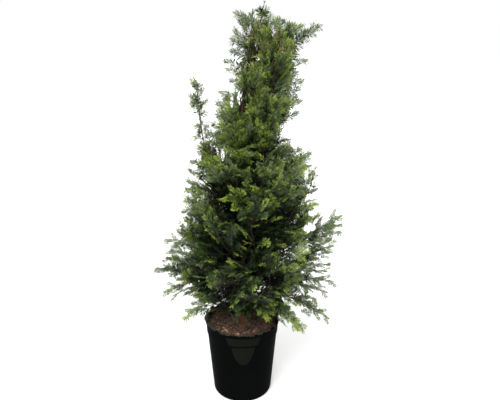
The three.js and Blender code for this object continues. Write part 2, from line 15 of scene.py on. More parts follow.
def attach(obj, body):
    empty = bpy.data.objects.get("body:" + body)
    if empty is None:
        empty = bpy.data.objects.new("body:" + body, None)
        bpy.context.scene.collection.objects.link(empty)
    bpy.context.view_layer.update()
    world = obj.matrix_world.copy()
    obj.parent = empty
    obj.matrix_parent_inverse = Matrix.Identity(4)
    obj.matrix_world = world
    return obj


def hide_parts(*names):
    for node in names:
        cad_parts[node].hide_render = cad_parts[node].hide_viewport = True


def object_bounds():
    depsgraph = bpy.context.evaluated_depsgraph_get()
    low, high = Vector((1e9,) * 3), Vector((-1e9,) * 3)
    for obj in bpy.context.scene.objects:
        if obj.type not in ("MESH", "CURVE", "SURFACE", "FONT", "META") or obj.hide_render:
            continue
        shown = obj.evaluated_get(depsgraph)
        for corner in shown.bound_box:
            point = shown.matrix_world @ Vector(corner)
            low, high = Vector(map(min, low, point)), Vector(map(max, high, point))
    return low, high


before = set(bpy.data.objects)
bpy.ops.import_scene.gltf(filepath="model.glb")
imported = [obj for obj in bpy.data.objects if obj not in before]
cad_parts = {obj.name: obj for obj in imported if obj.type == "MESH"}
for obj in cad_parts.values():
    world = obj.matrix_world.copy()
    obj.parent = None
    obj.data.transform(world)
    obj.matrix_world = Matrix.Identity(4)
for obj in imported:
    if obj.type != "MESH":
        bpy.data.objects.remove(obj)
cad_box = [list(corner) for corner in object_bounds()]

MM = 0.001

# ---- sizes shared with the solids

SOIL_TOP = 294
POT_HEIGHT = 300
POT_RIM = 140
STEMS = {
    "trunk": {
        "curve": [(0, 0, 294.3), (0, 0, 640), (-40, -4, 1150), (66, 0, 1385)],
        "foot": 11.5,
        "tip": 1.1,
    },
    "stem_right": {
        "curve": [(-4, 2, 424), (58, 14, 640), (72, 12, 1020), (146, 0, 1310)],
        "foot": 7,
        "tip": 2,
    },
    "stem_left": {
        "curve": [(-4, 2, 470), (-70, 12, 610), (-112, 10, 860), (-138, 0, 1040)],
        "foot": 5,
        "tip": 1.5,
    },
}
ROOT_FLARE = {"radius": 8, "height": 70}
# The crown's reach to the left and right of the pot's axis at each height.
CROWN = np.array([
    (250, 195, 245), (320, 240, 318), (420, 302, 330), (510, 314, 335), (620, 300, 350),
    (700, 250, 358), (780, 222, 305), (880, 204, 285), (960, 160, 252), (1050, 106, 192),
    (1150, 66, 202), (1270, 44, 228), (1390, 26, 270),
], float)
CROWN_DEPTH = 0.92
HEM = {"trunk": 312, "front": 0.56, "back": 0.1, "left": -0.06, "right": -0.2}
HEM_ROOM = 42
TIP_ROOM = 42
# name, stem, from, to, count, turn, span, arch, bare, bough
TIERS = [
    ("skirt", "trunk", 340, 350, 5, -90, 360, 30, 0.2, 0),
    ("low", "trunk", 385, 500, 5, 180, 360, 20, 0.04, 0.3),
    ("broad", "trunk", 455, 670, 6, 0, 360, 8, 0.1, 0),
    ("waist", "trunk", 570, 790, 5, -90, 360, 0, 0.04, 0),
    ("shoulder", "trunk", 700, 915, 5, 18, 360, -8, 0.04, 0),
    ("neck", "trunk", 880, 1060, 4, 100, 240, -8, 0.04, 0),
    ("upper", "trunk", 1030, 1190, 4, 130, 220, -6, 0.04, 0),
    ("top", "trunk", 1170, 1318, 3, 110, 165, -6, 0.04, 0),
    ("right", "stem_right", 860, 1070, 3, -60, 180, -6, 0.2, 0),
    ("plume", "stem_right", 1090, 1285, 4, -85, 220, -10, 0.04, 0),
]
TIER_STAGGER = 19
# name, stem, lean, size
TUFTS = [
    ("leader_tip", "trunk", (8, 0, 26), 0.34),
    ("plume_tip", "stem_right", (14, 0, 44), 0.46),
    ("left_tuft", "stem_left", (-8, 0, 112), 0.42),
]
TUFT_BARE = 0.04
LIMB = {"foot": 5.6, "share": 0.55, "tip": 1.3}
SHOOT = {
    "spacing": 34, "length": 138, "uneven": 0.2, "shorten": 0.36, "open": 62, "close": 24,
    "spread": 150, "tilt": 100, "width": 38, "least": 100, "rising": 0.8,
    "round_spread": 40, "open_spread": 14,
}
CELL_STEP = 14
TURNS = (0, 40, -40, 80, -80)
SIZES = (1, 0.8, 0.6)

# ---- the outline of the finer growth

# The eye that the outline is given for: how far in front of the pot's axis, and how high.
EYE_AWAY = 1900
EYE_HEIGHT = 1390
# The crown's reach to the left and right of the pot's axis at each height, as that eye sees it
# against the plane through the axis. Below zero is on the axis's other side.
OUTLINE = np.array([
    (250, 100, 160), (300, 108, 180), (340, 140, 186), (374, 160, 196), (400, 196, 196),
    (440, 218, 242), (475, 248, 258), (510, 272, 262), (545, 268, 254), (570, 262, 260),
    (600, 254, 268), (640, 244, 264), (665, 240, 244), (690, 232, 258), (720, 208, 270),
    (750, 198, 272), (830, 200, 246), (905, 186, 258), (935, 156, 224), (960, 136, 184),
    (1010, 106, 138), (1040, 96, 136), (1075, 82, 146), (1110, 66, 174), (1140, 44, 184),
    (1160, 2, 184), (1230, -7, 180), (1290, -8, 168), (1330, -16, 150), (1360, -18, 138),
    (1400, -20, 98), (1440, -60, 88),
], float)
OUTLINE_ROOM = 20  # how far past its half width growth may reach, seen from above
HEM_SLACK = 6  # how far the finer growth may hang under the hem
# How much more steeply the finer growth's hem rises at the front, over a width from x leftwards.
HEM_LIFT = {"slope": 0.5, "x": -20, "width": 50}
POT_ROOM = {"over": 8, "beside": 6}  # between the pot's rim and the growth
FINE_DEPTH = 1.04  # front to back, as a share of the reach to the sides
# How far inside the solids' box the finer growth stays, at the low and the high side of each axis.
BOX_ROOM = ((14, 14, 14), (5, 12, 5))
# How much a mass's shoots turn up, at each height.
TURN_UP = np.array([(330, 0), (480, 0.12), (650, 0.3), (900, 0.42), (1200, 0.45)], float)
# Places where the sky shows through, against the same plane: x, height, half width, half height.
SKY = [
    (50, 1302, 7, 20), (57, 1262, 6, 10), (27, 1355, 6, 16), (105, 1350, 8, 22),
    (-5, 1130, 9, 20), (-32, 1120, 6, 26), (-66, 935, 8, 24), (-84, 950, 5, 18), (96, 1150, 4, 8),
    (108, 1235, 4, 8), (246, 664, 26, 13), (220, 338, 22, 10),
]
# The stretch of the trunk that shows: from and to a height, and how far to each side.
BARE_TRUNK = {"from": 1085, "to": 1395, "side": 7, "kept": 0.2}
# Short, fresh sprays on the front of the crown: where each tip lies.
FRESH_TIPS = [
    (-28, -206, 806), (17, -215, 785), (-54, -202, 760), (46, -219, 756), (78, -211, 780),
    (130, -196, 775), (36, -208, 883), (-11, -190, 918), (-121, -168, 734), (-91, -199, 708),
    (20, -227, 701), (91, -217, 696), (-5, -144, 965), (84, -182, 925), (-19, -227, 660),
    (-63, -192, 835), (-45, -233, 637), (158, -189, 723), (-6, -244, 599), (-105, -214, 629),
    (132, -211, 626),
]
FRESH_LENGTH = 55
# Sprays that stand out of the crown: where the tip lies (x, y, z), the spray's length, and its
# colours where they aren't left to chance.
PLUMES = [
    # the top, and down its left side
    (-14, -10, 1406, 90), (12, 6, 1398, 80), (-4, 0, 1384, 80), (-20, 10, 1352, 80),
    (-26, -14, 1324, 80), (-30, 12, 1288, 80), (-52, 0, 1256, 90), (-44, -10, 1230, 85),
    (-36, 8, 1192, 80), (-18, 0, 1168, 70), (-66, -20, 1156, 110), (-58, 8, 1132, 90),
    (-82, 0, 1116, 105), (-84, -14, 1078, 90), (-98, -8, 1044, 90), (-112, 6, 1012, 90),
    (-122, -6, 984, 90),
    # the leader that stands clear at the left
    (-148, 0, 1178, 60, "cool"), (-168, -6, 1144, 50, "pale"), (-160, 8, 1120, 50, "cool"),
    (-136, -6, 1112, 40, "pale"),
    # the plume at the top right, and down the right side
    (250, -6, 1366, 130, "cool"), (214, 8, 1350, 100), (196, 8, 1366, 100), (172, -16, 1370, 95),
    (148, 0, 1350, 70), (122, 6, 1390, 90), (136, -8, 1380, 70), (34, -12, 1404, 70),
    (212, -4, 1258, 100), (188, 12, 1214, 80), (204, -10, 1192, 90), (196, 8, 1164, 80),
    (186, -12, 1142, 90), (200, 14, 1124, 100), (192, -12, 1086, 90), (176, -6, 962, 110),
    (164, 8, 992, 90), (206, 6, 954, 80), (240, -8, 943, 120), (246, 10, 896, 110),
    (248, -14, 855, 100), (266, 8, 806, 110), (268, -10, 762, 110, "new"),
    (256, 8, 738, 100, "green"), (276, -8, 714, 120, "new"),
    # the long, slender sprays at the lower right
    (362, 0, 712, 190), (336, -14, 694, 160), (361, -8, 682, 190), (330, 12, 672, 150),
    (362, 8, 646, 180), (326, -10, 622, 140), (298, 8, 616, 120), (335, -6, 596, 160),
    (302, 12, 580, 120), (336, 10, 564, 150), (282, -14, 552, 110), (326, -8, 520, 150),
    (318, 8, 486, 140), (340, -14, 454, 170), (290, 6, 446, 120), (268, -18, 430, 110),
    (320, -10, 408, 160), (278, -18, 386, 120), (250, 0, 380, 110), (282, -8, 346, 110),
    (330, -20, 303, 170, "green"), (290, -26, 330, 130, "cool"), (210, -50, 272, 90, "new"),
    (234, -24, 254, 100, "new"),
    # the left side, from the shoulder down
    (-174, 0, 916, 80), (-184, 10, 880, 90), (-190, -10, 846, 90), (-198, 8, 812, 90),
    (-190, -6, 780, 90), (-216, 8, 726, 90), (-206, -12, 700, 90), (-222, 0, 676, 100, "green"),
    (-236, 10, 650, 110), (-280, -14, 626, 140), (-248, 10, 604, 110, "green"),
    (-262, 8, 580, 120), (-278, -8, 555, 130), (-252, 12, 536, 100), (-282, -18, 522, 130),
    (-320, 0, 508, 170, "cool"), (-300, 12, 500, 150), (-268, 10, 492, 120),
    (-244, -14, 466, 110), (-293, -20, 420, 150, "green"), (-282, 10, 405, 140, "green"),
    (-262, -8, 396, 120, "green"), (-222, -14, 400, 100, "green"), (-222, -20, 306, 140, "new"),
    (-204, -14, 326, 120, "green"), (-190, 6, 352, 110, "green"),
    # dark ones inside the crown, whose near-black needles are painted shade
    (-120, 60, 384, 120, "dark"), (-100, 90, 424, 120, "dark"), (-140, 30, 436, 120, "dark"),
    (-90, 50, 358, 100, "dark"), (-60, 80, 392, 100, "dark"), (26, -150, 640, 120, "dark"),
    (56, -160, 600, 120, "dark"), (4, -150, 570, 120, "dark"), (40, -140, 690, 120, "dark"),
    (-70, -150, 520, 120, "dark"), (70, -160, 540, 120, "dark"),
    # the front
    (88, -150, 372, 150, "new"), (60, -312, 520, 150, "green"), (-110, -284, 580, 130, "green"),
    (140, -286, 640, 130, "green"), (-40, -284, 610, 130, "green"),
    (180, -240, 480, 150, "green"),
    # dark ones at the foot of the front, painted shade under the crown
    (29, -70, 340, 90, "dark"), (62, -80, 352, 90, "dark"), (-6, -60, 352, 90, "dark"),
    # fresh tips on the front
    *((*tip, FRESH_LENGTH, "new") for tip in FRESH_TIPS),
    # the back
    (30, 300, 560, 150), (-120, 280, 620, 130), (150, 262, 540, 150), (-190, 220, 480, 150),
]
# How far apart a plume's side twigs are, and how long these and its needles are, as shares of
# those elsewhere. The low ones are slender.
PLUME_LOW = {"under": 780, "spacing": 31, "fullness": 0.78, "needle": 0.84}
PLUME_HIGH = {"spacing": 17, "fullness": 0.55, "needle": 1}
PLUME_LIFT = 0.08  # how far its side twigs hang
PLUME_ARCH = 0.1  # how far its own middle rises over a straight line
# The way that its flat side faces, under and over a height, and by how many degrees that varies.
PLUME_FACING = {"from": 1000, "low": (0, -0.7, 0.7), "high": (0, -1, 0.2), "uneven": 40}
PLUME_ROOTS = 12  # how many places on each limb and stem a plume may grow from
PLUME_ROOTS_FROM = (0.25, 0.5)  # where on a limb and on a stem these start
# What a plume without colours of its own takes, low down and above a height. The grey cool
# and pale ones are painted sheen on the crown's outer sprays.
PLUME_TINTS = (("cool", "green", "dark", "green"), ("pale", "cool", "green", "cool"))
PLUME_TINTS_FROM = 560
# How steeply a plume rises from its foot, at each height of its tip.
PLUME_RISE = np.array([(300, -0.6), (420, -0.15), (500, 0.1), (600, 0.45), (760, 0.6), (1000, 0.5)])
PLUME_STEEPER = {"from": 1300, "rise": 60}

# ---- sizes of the finer growth

# How far the middle of a tier's shoots hangs below a straight line, as a share of their length:
# those of the low tiers arch over, and those of the high ones turn up.
LIMB_LIFT = {
    "skirt": -0.12, "low": -0.06, "broad": 0.02, "waist": 0.06, "shoulder": 0.1, "neck": 0.1,
    "upper": 0.1, "top": 0.1, "right": 0.1, "plume": 0.06, "leader_tip": 0.08, "plume_tip": 0.08,
    "left_tuft": 0.1,
}
# How far past the outline a spray may reach: at random between these.
SLACK = (-30, 14)
FREE = 1000  # for the plumes, which keep to their own places
OVERSHOOT = 7  # how much further than its spray a side twig may reach
# A place is in a mass's space where every other mass is at least this much further off.
SPRAY_MARGIN = -24
TWIG_MARGIN = -40
TUFT_SLACK = {"leader_tip": -12, "plume_tip": 30, "left_tuft": FREE}
TUFT_OPEN = 46  # degrees between a tuft's stem and its lowest shoots
TUFT_SPACING = 0.34  # between a tuft's shoots, as a share of that elsewhere
TUFT_NEEDLE = 0.85  # the length of a tuft's needles, as a share of those elsewhere
# The length of a tuft's shoots, as a share of that in the source's rule.
TUFT_SHORT = {"leader_tip": 0.4, "plume_tip": 0.9}
TUFT_END = {"leader_tip": 0.3}  # where on its stem a tuft's leafy part ends, if not at its tip
# The leader's bare tip: where it ends, its radii and how much of it has no needles.
BARE_TIP = {"end": (76, 0, 1438), "foot": 1.3, "tip": 0.9, "bare": 0.96}
# Finer limbs, which leave a limb and end near the crown's outline beside and above it.
BRANCH = {
    "start": (0.08, 0.55),  # where on the limb, as a share of it
    "aside": (12, 40),  # degrees of azimuth from the limb's end
    "rise": (-40, 150),
    "reach": (0.45, 0.85),
    "top": 1340,
    "sag": 0.06,
    "bare": 0.1,
    "foot": (0.5, 0.4),  # its radius at its foot: a share of the limb's, and more
}
BRANCH_COUNTS = {
    "skirt": 4, "low": 6, "broad": 6, "waist": 6, "shoulder": 6, "neck": 5, "upper": 5, "top": 4,
    "right": 4, "plume": 4,
}
# Short shoots on a stretch of a stem: stem, from, to, spacing, length, open, reach, slack, and
# their colours if these aren't left to chance. They fill the crown's dark heart and its foot,
# and feather the stem that stands clear of it. Those given the heart's colours, at the trunk's
# foot, are painted shade.
ALONG = [
    ("trunk", 0.03, 0.93, 9, (60, 150), (48, 80), 0.62, -20),
    ("stem_right", 0.03, 0.93, 9, (60, 150), (48, 80), 0.62, -20),
    ("stem_left", 0.03, 0.8, 6, (60, 150), (48, 80), 0.75, -20),
    ("trunk", 0.001, 0.06, 1.3, (60, 150), (12, 50), 0.6, -20, "heart"),
    ("trunk", 0.06, 0.3, 5, (60, 150), (56, 96), 0.7, -20),
    ("stem_left", 0.8, 1, 9, (18, 36), (32, 56), 1, FREE),
]
ALONG_SAG = 0.06  # how far these shoots and their twigs hang
ALONG_TILT = 90  # degrees
TWIG = {
    "spacing": 17,  # between side twigs along a shoot
    "from": 0.16,  # where on the shoot they start and end, as shares of it
    "to": 0.96,
    "open": 50,
    "close": 16,
    "length": 0.42,  # of the shoot's, at its foot
    "taper": 0.5,  # how much of that is lost at its tip
    "least": 22,
    "foot": 0.9,
    "tip": 0.45,
    "shoot_foot": (0.011, 0.25),  # a shoot's radius at its foot: a share of its length, and more
    "shoot_bare": 0.2,  # how much of a shoot and of a side twig has no needles
    "bare": 0.06,
    "uneven": {"place": 0.3, "open": 16, "roll": 50},
    "forward": 0.12,  # how far a side twig bends forward and hangs, as shares of its length
    "hang": 0.8,
    "sizes": (0.75, 0.5),  # the least of a side twig's length at random, and how much more
    "steep": 0.45,  # a spray that rises more than this turns to face outwards
    "to_front": 0.6,  # the share of these, but for those at the back, that face the front
    "steep_tilt": 70,  # degrees
}
FACED_KEEPS = 0.35  # how much of its own way to face is left in a spray that is turned
TWIG_CUT = 0.6  # the share that is left of a side twig that doesn't fit
NEEDLE = {
    "spacing": 1.7,  # between needles along a twig, both sides counted
    "lengths": [(300, 12.5), (800, 14), (1100, 16), (1400, 18)],  # by height
    "width": 2.4,
    "loose": {"under": 1000, "wider": 1.22},  # those on plumes and the like, under a height
    "dark": {"kept": 0.56, "longer": 1.35, "wider": 1.9},  # those in the crown's dark heart
    "open": 62,
    "close": 26,
    "uneven": {"turn": 9, "open": 5, "roll": 16},  # degrees
    "sizes": (0.82, 0.3),  # the least of its length at random, and how much more
    "widths": (0.85, 0.3),
    "radial_rise": 0.9,  # a twig that rises more than this has needles all round
    "forward": 0.12,  # how far a needle bends forward and hangs, as shares of its length
    "hang": 0.05,
}
GOLDEN = 137.5  # degrees between one shoot or needle and the next, round what they stand on

# ---- seeded numbers and curves


def columns(items, *keys):
    """An array of the items' values for each key."""
    return (np.array([item[key] for item in items]) for key in keys)


def random_source(seed):
    """The same seed always gives the same run of numbers from 0 to 1."""
    mask = 0xFFFFFFFF
    state = ((seed + 1) * 0x9E3779B1) & mask

    def draw():
        nonlocal state
        state = (state + 0x6D2B79F5) & mask
        bits = ((state ^ (state >> 15)) * (state | 1)) & mask
        bits = ((bits + (bits ^ (bits >> 7)) * (bits | 61)) & mask) ^ bits
        return (bits ^ (bits >> 14)) / 4294967296

    return draw


def unit(v):
    v = np.asarray(v, float)
    return v / np.maximum(np.linalg.norm(v, axis=-1, keepdims=True), 1e-9)


def bezier(control, t):
    """Points of a quadratic or cubic curve at an array of shares."""
    t = np.atleast_1d(np.asarray(t, float))[:, None]
    p = [np.asarray(c, float) for c in control]
    while len(p) > 1:
        p = [a * (1 - t) + b * t for a, b in zip(p, p[1:])]
    return p[0]


def tangent(control, t):
    t = np.atleast_1d(np.asarray(t, float))
    low, high = np.clip(t - 1e-3, 0, 1), np.clip(t + 1e-3, 0, 1)
    return unit(bezier(control, high) - bezier(control, low))


def length_of(control):
    points = bezier(control, np.linspace(0, 1, 60))
    return np.linalg.norm(np.diff(points, axis=0), axis=1).sum()


def between(pair, share):
    return pair[0] + (pair[1] - pair[0]) * share


def turned(v, axis, degrees):
    """v turned about a unit axis."""
    a = math.radians(degrees)
    kept = axis * np.dot(axis, v) * (1 - math.cos(a))
    return v * math.cos(a) + np.cross(axis, v) * math.sin(a) + kept


def square_to(along, vectors):
    """The part of each vector that is square to a direction, made a unit long."""
    return unit(vectors - along * (vectors * along).sum(-1, keepdims=True))


def stretch(control, start, end):
    """The stretch of a quadratic curve from one share to another."""
    a, b, c = (np.asarray(p, float) for p in control)
    middle = a * (1 - start) * (1 - end) + b * (start * (1 - end) + end * (1 - start))
    return [bezier(control, start)[0], middle + c * start * end, bezier(control, end)[0]]


def on_curves(a, b, c, s):
    """Places on many quadratic curves at once, at shares s, and the curves' directions there."""
    places = a * (1 - s) ** 2 + b * 2 * s * (1 - s) + c * s * s
    return places, unit((b - a) * (1 - s) + (c - b) * s)


def up(height):
    return np.array([0, 0, height])


def arched(start, end, rise=0):
    """A quadratic curve whose middle point lies over, or under, that of a straight line."""
    return [start, (start + end) / 2 + up(rise), end]


def full_turn(count):
    """Angles that are evenly spread round a full turn."""
    return [2 * math.pi * i / count for i in range(count)]


def on_circle(radius, turn, height):
    return radius * math.cos(turn), radius * math.sin(turn), height


# ---- the crown's reach


def reaches(height, table=OUTLINE):
    """The reach to the left and to the right of the pot's axis at a height."""
    return (np.interp(height, table[:, 0], table[:, side]) for side in (1, 2))


def middle_and_half(height, table=OUTLINE):
    """How far right of the pot's axis the crown's middle lies at a height, and its half width."""
    left, right = reaches(height, table)
    return (right - left) / 2, (left + right) / 2


def hem_at(places):
    """The lowest that foliage hangs where each place lies."""
    away = np.hypot(places[:, 0], places[:, 1])
    sideways = (places[:, 0] / np.maximum(away, 1)) ** 2
    side = np.where(places[:, 0] < 0, HEM["left"], HEM["right"])
    end = np.where(places[:, 1] < 0, HEM["front"], HEM["back"])
    return HEM["trunk"] + away * (end + (side - end) * sideways)


def point_at(middle, reach, depth, azimuth, height, room):
    """A place at a reach from the crown's middle, raised where it is too near the hem."""
    a = math.radians(azimuth)
    place = np.array([middle + reach * math.cos(a), reach * depth * math.sin(a), height])
    place[2] = max(height, hem_at(place[None])[0] + room)
    return place


def crown_point(height, azimuth):
    """Where a limb ends: near the outline of the solids."""
    middle, half = middle_and_half(height, CROWN)
    return point_at(middle, half - TIP_ROOM, CROWN_DEPTH, azimuth, height, HEM_ROOM)


def fine_crown_point(height, azimuth, reach):
    """A place at a share of the finer crown's reach."""
    middle, half = middle_and_half(height)
    return point_at(middle, reach * half, FINE_DEPTH, azimuth, height, HEM_ROOM / 2)


# ---- stems and limbs


def stem_radius(name, share):
    stem = STEMS[name]
    even = stem["foot"] + (stem["tip"] - stem["foot"]) * np.asarray(share, float)
    if name != "trunk":
        return even
    height = bezier(stem["curve"], share)[:, 2] - SOIL_TOP
    return even + ROOT_FLARE["radius"] * np.clip(1 - height / ROOT_FLARE["height"], 0, None) ** 2


def share_at_height(name, height):
    low, high = 0.0, 1.0
    for _ in range(30):
        middle = (low + high) / 2
        if bezier(STEMS[name]["curve"], middle)[0, 2] < height:
            low = middle
        else:
            high = middle
    return low


def new_limb(number, name, tier, stem, curve, foot, bough, bare, size):
    """A limb that carries a mass. Its leafy part starts where its bough ends."""
    leafy = stretch(curve, bough, TUFT_END.get(name, 1))
    return {
        "name": name, "tier": tier, "stem": stem, "curve": curve, "leafy": leafy, "foot": foot,
        "bare": bare, "size": size, "seed": number, "own": number,
    }


def plan_limbs():
    """The limbs of the tiers, and last the tufts that carry the stems on from their tips."""
    limbs = []
    for tier, stem, start_at, end_at, count, turn, span, arch, bare, bough in TIERS:
        middle_rank = (count - 1) / 2
        for i in range(count):
            stagger = TIER_STAGGER * ((i * 2 + middle_rank) % count - middle_rank)
            share = share_at_height(stem, start_at + stagger)
            start = bezier(STEMS[stem]["curve"], share)[0]
            end = crown_point(end_at + stagger, turn + span * i / count)
            curve = arched(start, end, 2 * arch)
            foot = min(LIMB["foot"], LIMB["share"] * float(stem_radius(stem, [share])[0]))
            name = f"{tier}_{i + 1}"
            limbs.append(new_limb(len(limbs), name, tier, stem, curve, foot, bough, bare, 1))
    for name, stem, lean, size in TUFTS:
        start = bezier(STEMS[stem]["curve"], 1)[0]
        out = tangent(STEMS[stem]["curve"], 1)[0]
        lean = np.array(lean, float)
        curve = [start, start + out * np.linalg.norm(lean) / 2, start + lean]
        foot = STEMS[stem]["tip"]
        limbs.append(new_limb(len(limbs), name, name, stem, curve, foot, 0, TUFT_BARE, size))
    return limbs


def plan_branches(limb):
    """The finer limbs that grow on from one."""
    branches = []
    end = limb["curve"][2]
    azimuth = math.degrees(math.atan2(end[1], end[0]))
    count = BRANCH_COUNTS[limb["tier"]]
    share_of_foot, more = BRANCH["foot"]
    for j in range(count):
        draw = random_source(limb["seed"] * 100 + 60 + j)
        share = between(BRANCH["start"], (j + draw()) / count)
        start = bezier(limb["curve"], share)[0]
        aside, rise, reach = (between(BRANCH[key], draw()) for key in ("aside", "rise", "reach"))
        height = min(end[2] + rise, BRANCH["top"])
        out = fine_crown_point(height, azimuth + aside * (1 if j % 2 else -1), reach)
        curve = arched(start, out, -BRANCH["sag"] * np.linalg.norm(out - start))
        branches.append({
            **limb,
            "curve": curve,
            "leafy": curve,
            "foot": share_of_foot * limb["foot"] + more,
            "bare": BRANCH["bare"],
            "seed": 100 + limb["seed"] * 10 + j,
        })
    return branches


limbs = plan_limbs()
tufts = limbs[-len(TUFTS):]
branches = [branch for limb in limbs[:-len(TUFTS)] for branch in plan_branches(limb)]

# ---- the space each mass keeps to

cells = []
for limb in limbs:
    count = max(3, round(length_of(limb["leafy"]) / CELL_STEP))
    cells.append(bezier(limb["leafy"], np.linspace(0, 1, count + 1)))
cell_points = np.concatenate(cells)
cell_starts = np.cumsum([0] + [len(cell) for cell in cells[:-1]])
lowest = np.array(cad_box[0]) / MM + BOX_ROOM[0]
highest = np.array(cad_box[1]) / MM - BOX_ROOM[1]


def in_box(places):
    """Whether each place is inside the solids' box."""
    return ((places > lowest) & (places < highest)).all(axis=1)


def seen_from_front(places):
    """Where each place shows against the plane through the pot's axis: across it and up it."""
    scale = EYE_AWAY / (EYE_AWAY + places[:, 1])
    return places[:, 0] * scale, EYE_HEIGHT + (places[:, 2] - EYE_HEIGHT) * scale


def beyond_outline(places):
    """How far each place lies outside the crown, seen from the front or from above."""
    x, z = seen_from_front(places)
    left, right = reaches(z)
    sideways = np.maximum(-x - left, x - right)
    middle, half = middle_and_half(places[:, 2])
    away = np.hypot(places[:, 0] - middle, places[:, 1] / FINE_DEPTH)
    return np.maximum(sideways, away - (half + OUTLINE_ROOM))


def in_sky(places):
    """Whether each place would hide a gap that the sky shows through."""
    x, z = seen_from_front(places)
    found = np.zeros(len(places), bool)
    for sky_x, sky_z, half_x, half_z in SKY:
        found |= np.hypot((x - sky_x) / half_x, (z - sky_z) / half_z) < 1
    return found


def before_trunk(places):
    """Whether each place hides the stretch of the trunk that shows, all but a few of them."""
    shares = np.linspace(0.5, 1, 60)
    line_x, line_z = seen_from_front(bezier(STEMS["trunk"]["curve"], shares))
    x, z = seen_from_front(places)
    beside = np.abs(x - np.interp(z, line_z, line_x)) < BARE_TRUNK["side"]
    along = (z > BARE_TRUNK["from"]) & (z < BARE_TRUNK["to"])
    kept = np.sin(places[:, 2] * 0.9 + places[:, 0] * 1.3) > 1 - 2 * BARE_TRUNK["kept"]
    return beside & along & (places[:, 1] < 0) & ~kept


def is_free(places, own, margin):
    """Whether each place is over the hem, clear of the pot and in the mass's own space."""
    gap = np.linalg.norm(places[:, None] - cell_points[None], axis=2)
    near = np.minimum.reduceat(gap, cell_starts, axis=1)
    every = np.arange(len(places))
    mine = near[every, own]
    near[every, own] = np.inf
    in_own_space = near.min(axis=1) > mine + margin
    away = np.hypot(places[:, 0], places[:, 1])
    near_top = places[:, 2] < POT_HEIGHT + POT_ROOM["over"]
    in_pot = near_top & (away < POT_RIM + POT_ROOM["beside"])
    front = np.clip(-places[:, 1], 0, None)
    at_left = np.clip((HEM_LIFT["x"] - places[:, 0]) / HEM_LIFT["width"], 0, 1)
    lift = HEM_LIFT["slope"] * front * at_left
    over_hem = places[:, 2] >= hem_at(places) + lift - HEM_SLACK
    return in_own_space & over_hem & ~in_pot & in_box(places)


# ---- shoots and twigs


def plan_shoots(limb):
    """The source's shoots of one mass."""
    tuft = limb["size"] < 1
    leafy = length_of(limb["leafy"]) * (1 - limb["bare"])
    count = max(3, round(leafy / (SHOOT["spacing"] * (TUFT_SPACING if tuft else 1))))
    shoots = []
    for k in range(count):
        draw = random_source(limb["seed"] * 100 + k)
        share = limb["bare"] + (1 - limb["bare"]) * (k + 0.5) / count
        flat_roll = (180 if k % 2 else 0) + (draw() - 0.5) * SHOOT["spread"]
        round_roll = k * GOLDEN + (draw() - 0.5) * SHOOT["round_spread"]
        rising = tangent(limb["leafy"], share)[0, 2] > SHOOT["rising"]
        opening = (TUFT_OPEN if tuft else SHOOT["open"]) - SHOOT["close"] * share
        full = SHOOT["length"] * limb["size"] * (1 - SHOOT["shorten"] * share)
        shoots.append({
            "share": share,
            "roll": round_roll if rising else flat_roll,
            "open": opening + (draw() - 0.5) * SHOOT["open_spread"],
            "length": full * (1 + SHOOT["uneven"] * (2 * draw() - 1)),
            "tilt": (draw() - 0.5) * SHOOT["tilt"],
        })
    length = 1.3 * TIP_ROOM * limb["size"]
    return [*shoots, {"share": 0.97, "roll": 0, "open": 6, "length": length, "tilt": 0}]


def shoot_direction(curve, shoot, turn):
    forward = tangent(curve, shoot["share"])[0]
    side = unit([-forward[1], forward[0], 0])
    opened = turned(forward, np.cross(forward, side), shoot["open"])
    return turned(opened, forward, shoot["roll"] + turn)


def blade_axes(direction, tilt):
    """Across and square to a spray that faces up but for its tilt."""
    reference = np.array([0, 1, 0]) if abs(direction[2]) > 0.9 else up(1)
    across = turned(unit(np.cross(reference, direction)), direction, tilt)
    return across, np.cross(direction, across)


twigs = []


def new_spray(own, slack, chance, tint=None, loose=False, needle=1):
    """What a spray's twigs share. A loose one may stand out of its mass's space and the hem."""
    return {
        "own": own, "slack": slack, "chance": chance, "tint": tint, "loose": loose,
        "needle": needle,
    }


def add_twig(spray, control, normal, foot, tip, needles_from, rank):
    """rank is where on its spray a twig starts: 0 at the spray's foot, 1 at its tip."""
    twigs.append({
        "spray": spray, "control": control, "normal": normal, "foot": foot, "tip": tip,
        "from": needles_from, "length": length_of(control), "rank": rank,
    })


def faced(direction, normal, facing, tilt):
    """A normal for a spray that faces a way as far as its direction lets it."""
    normal = unit(FACED_KEEPS * normal + np.array(facing, float))
    normal = unit(normal - direction * np.dot(normal, direction))
    return turned(normal, direction, tilt)


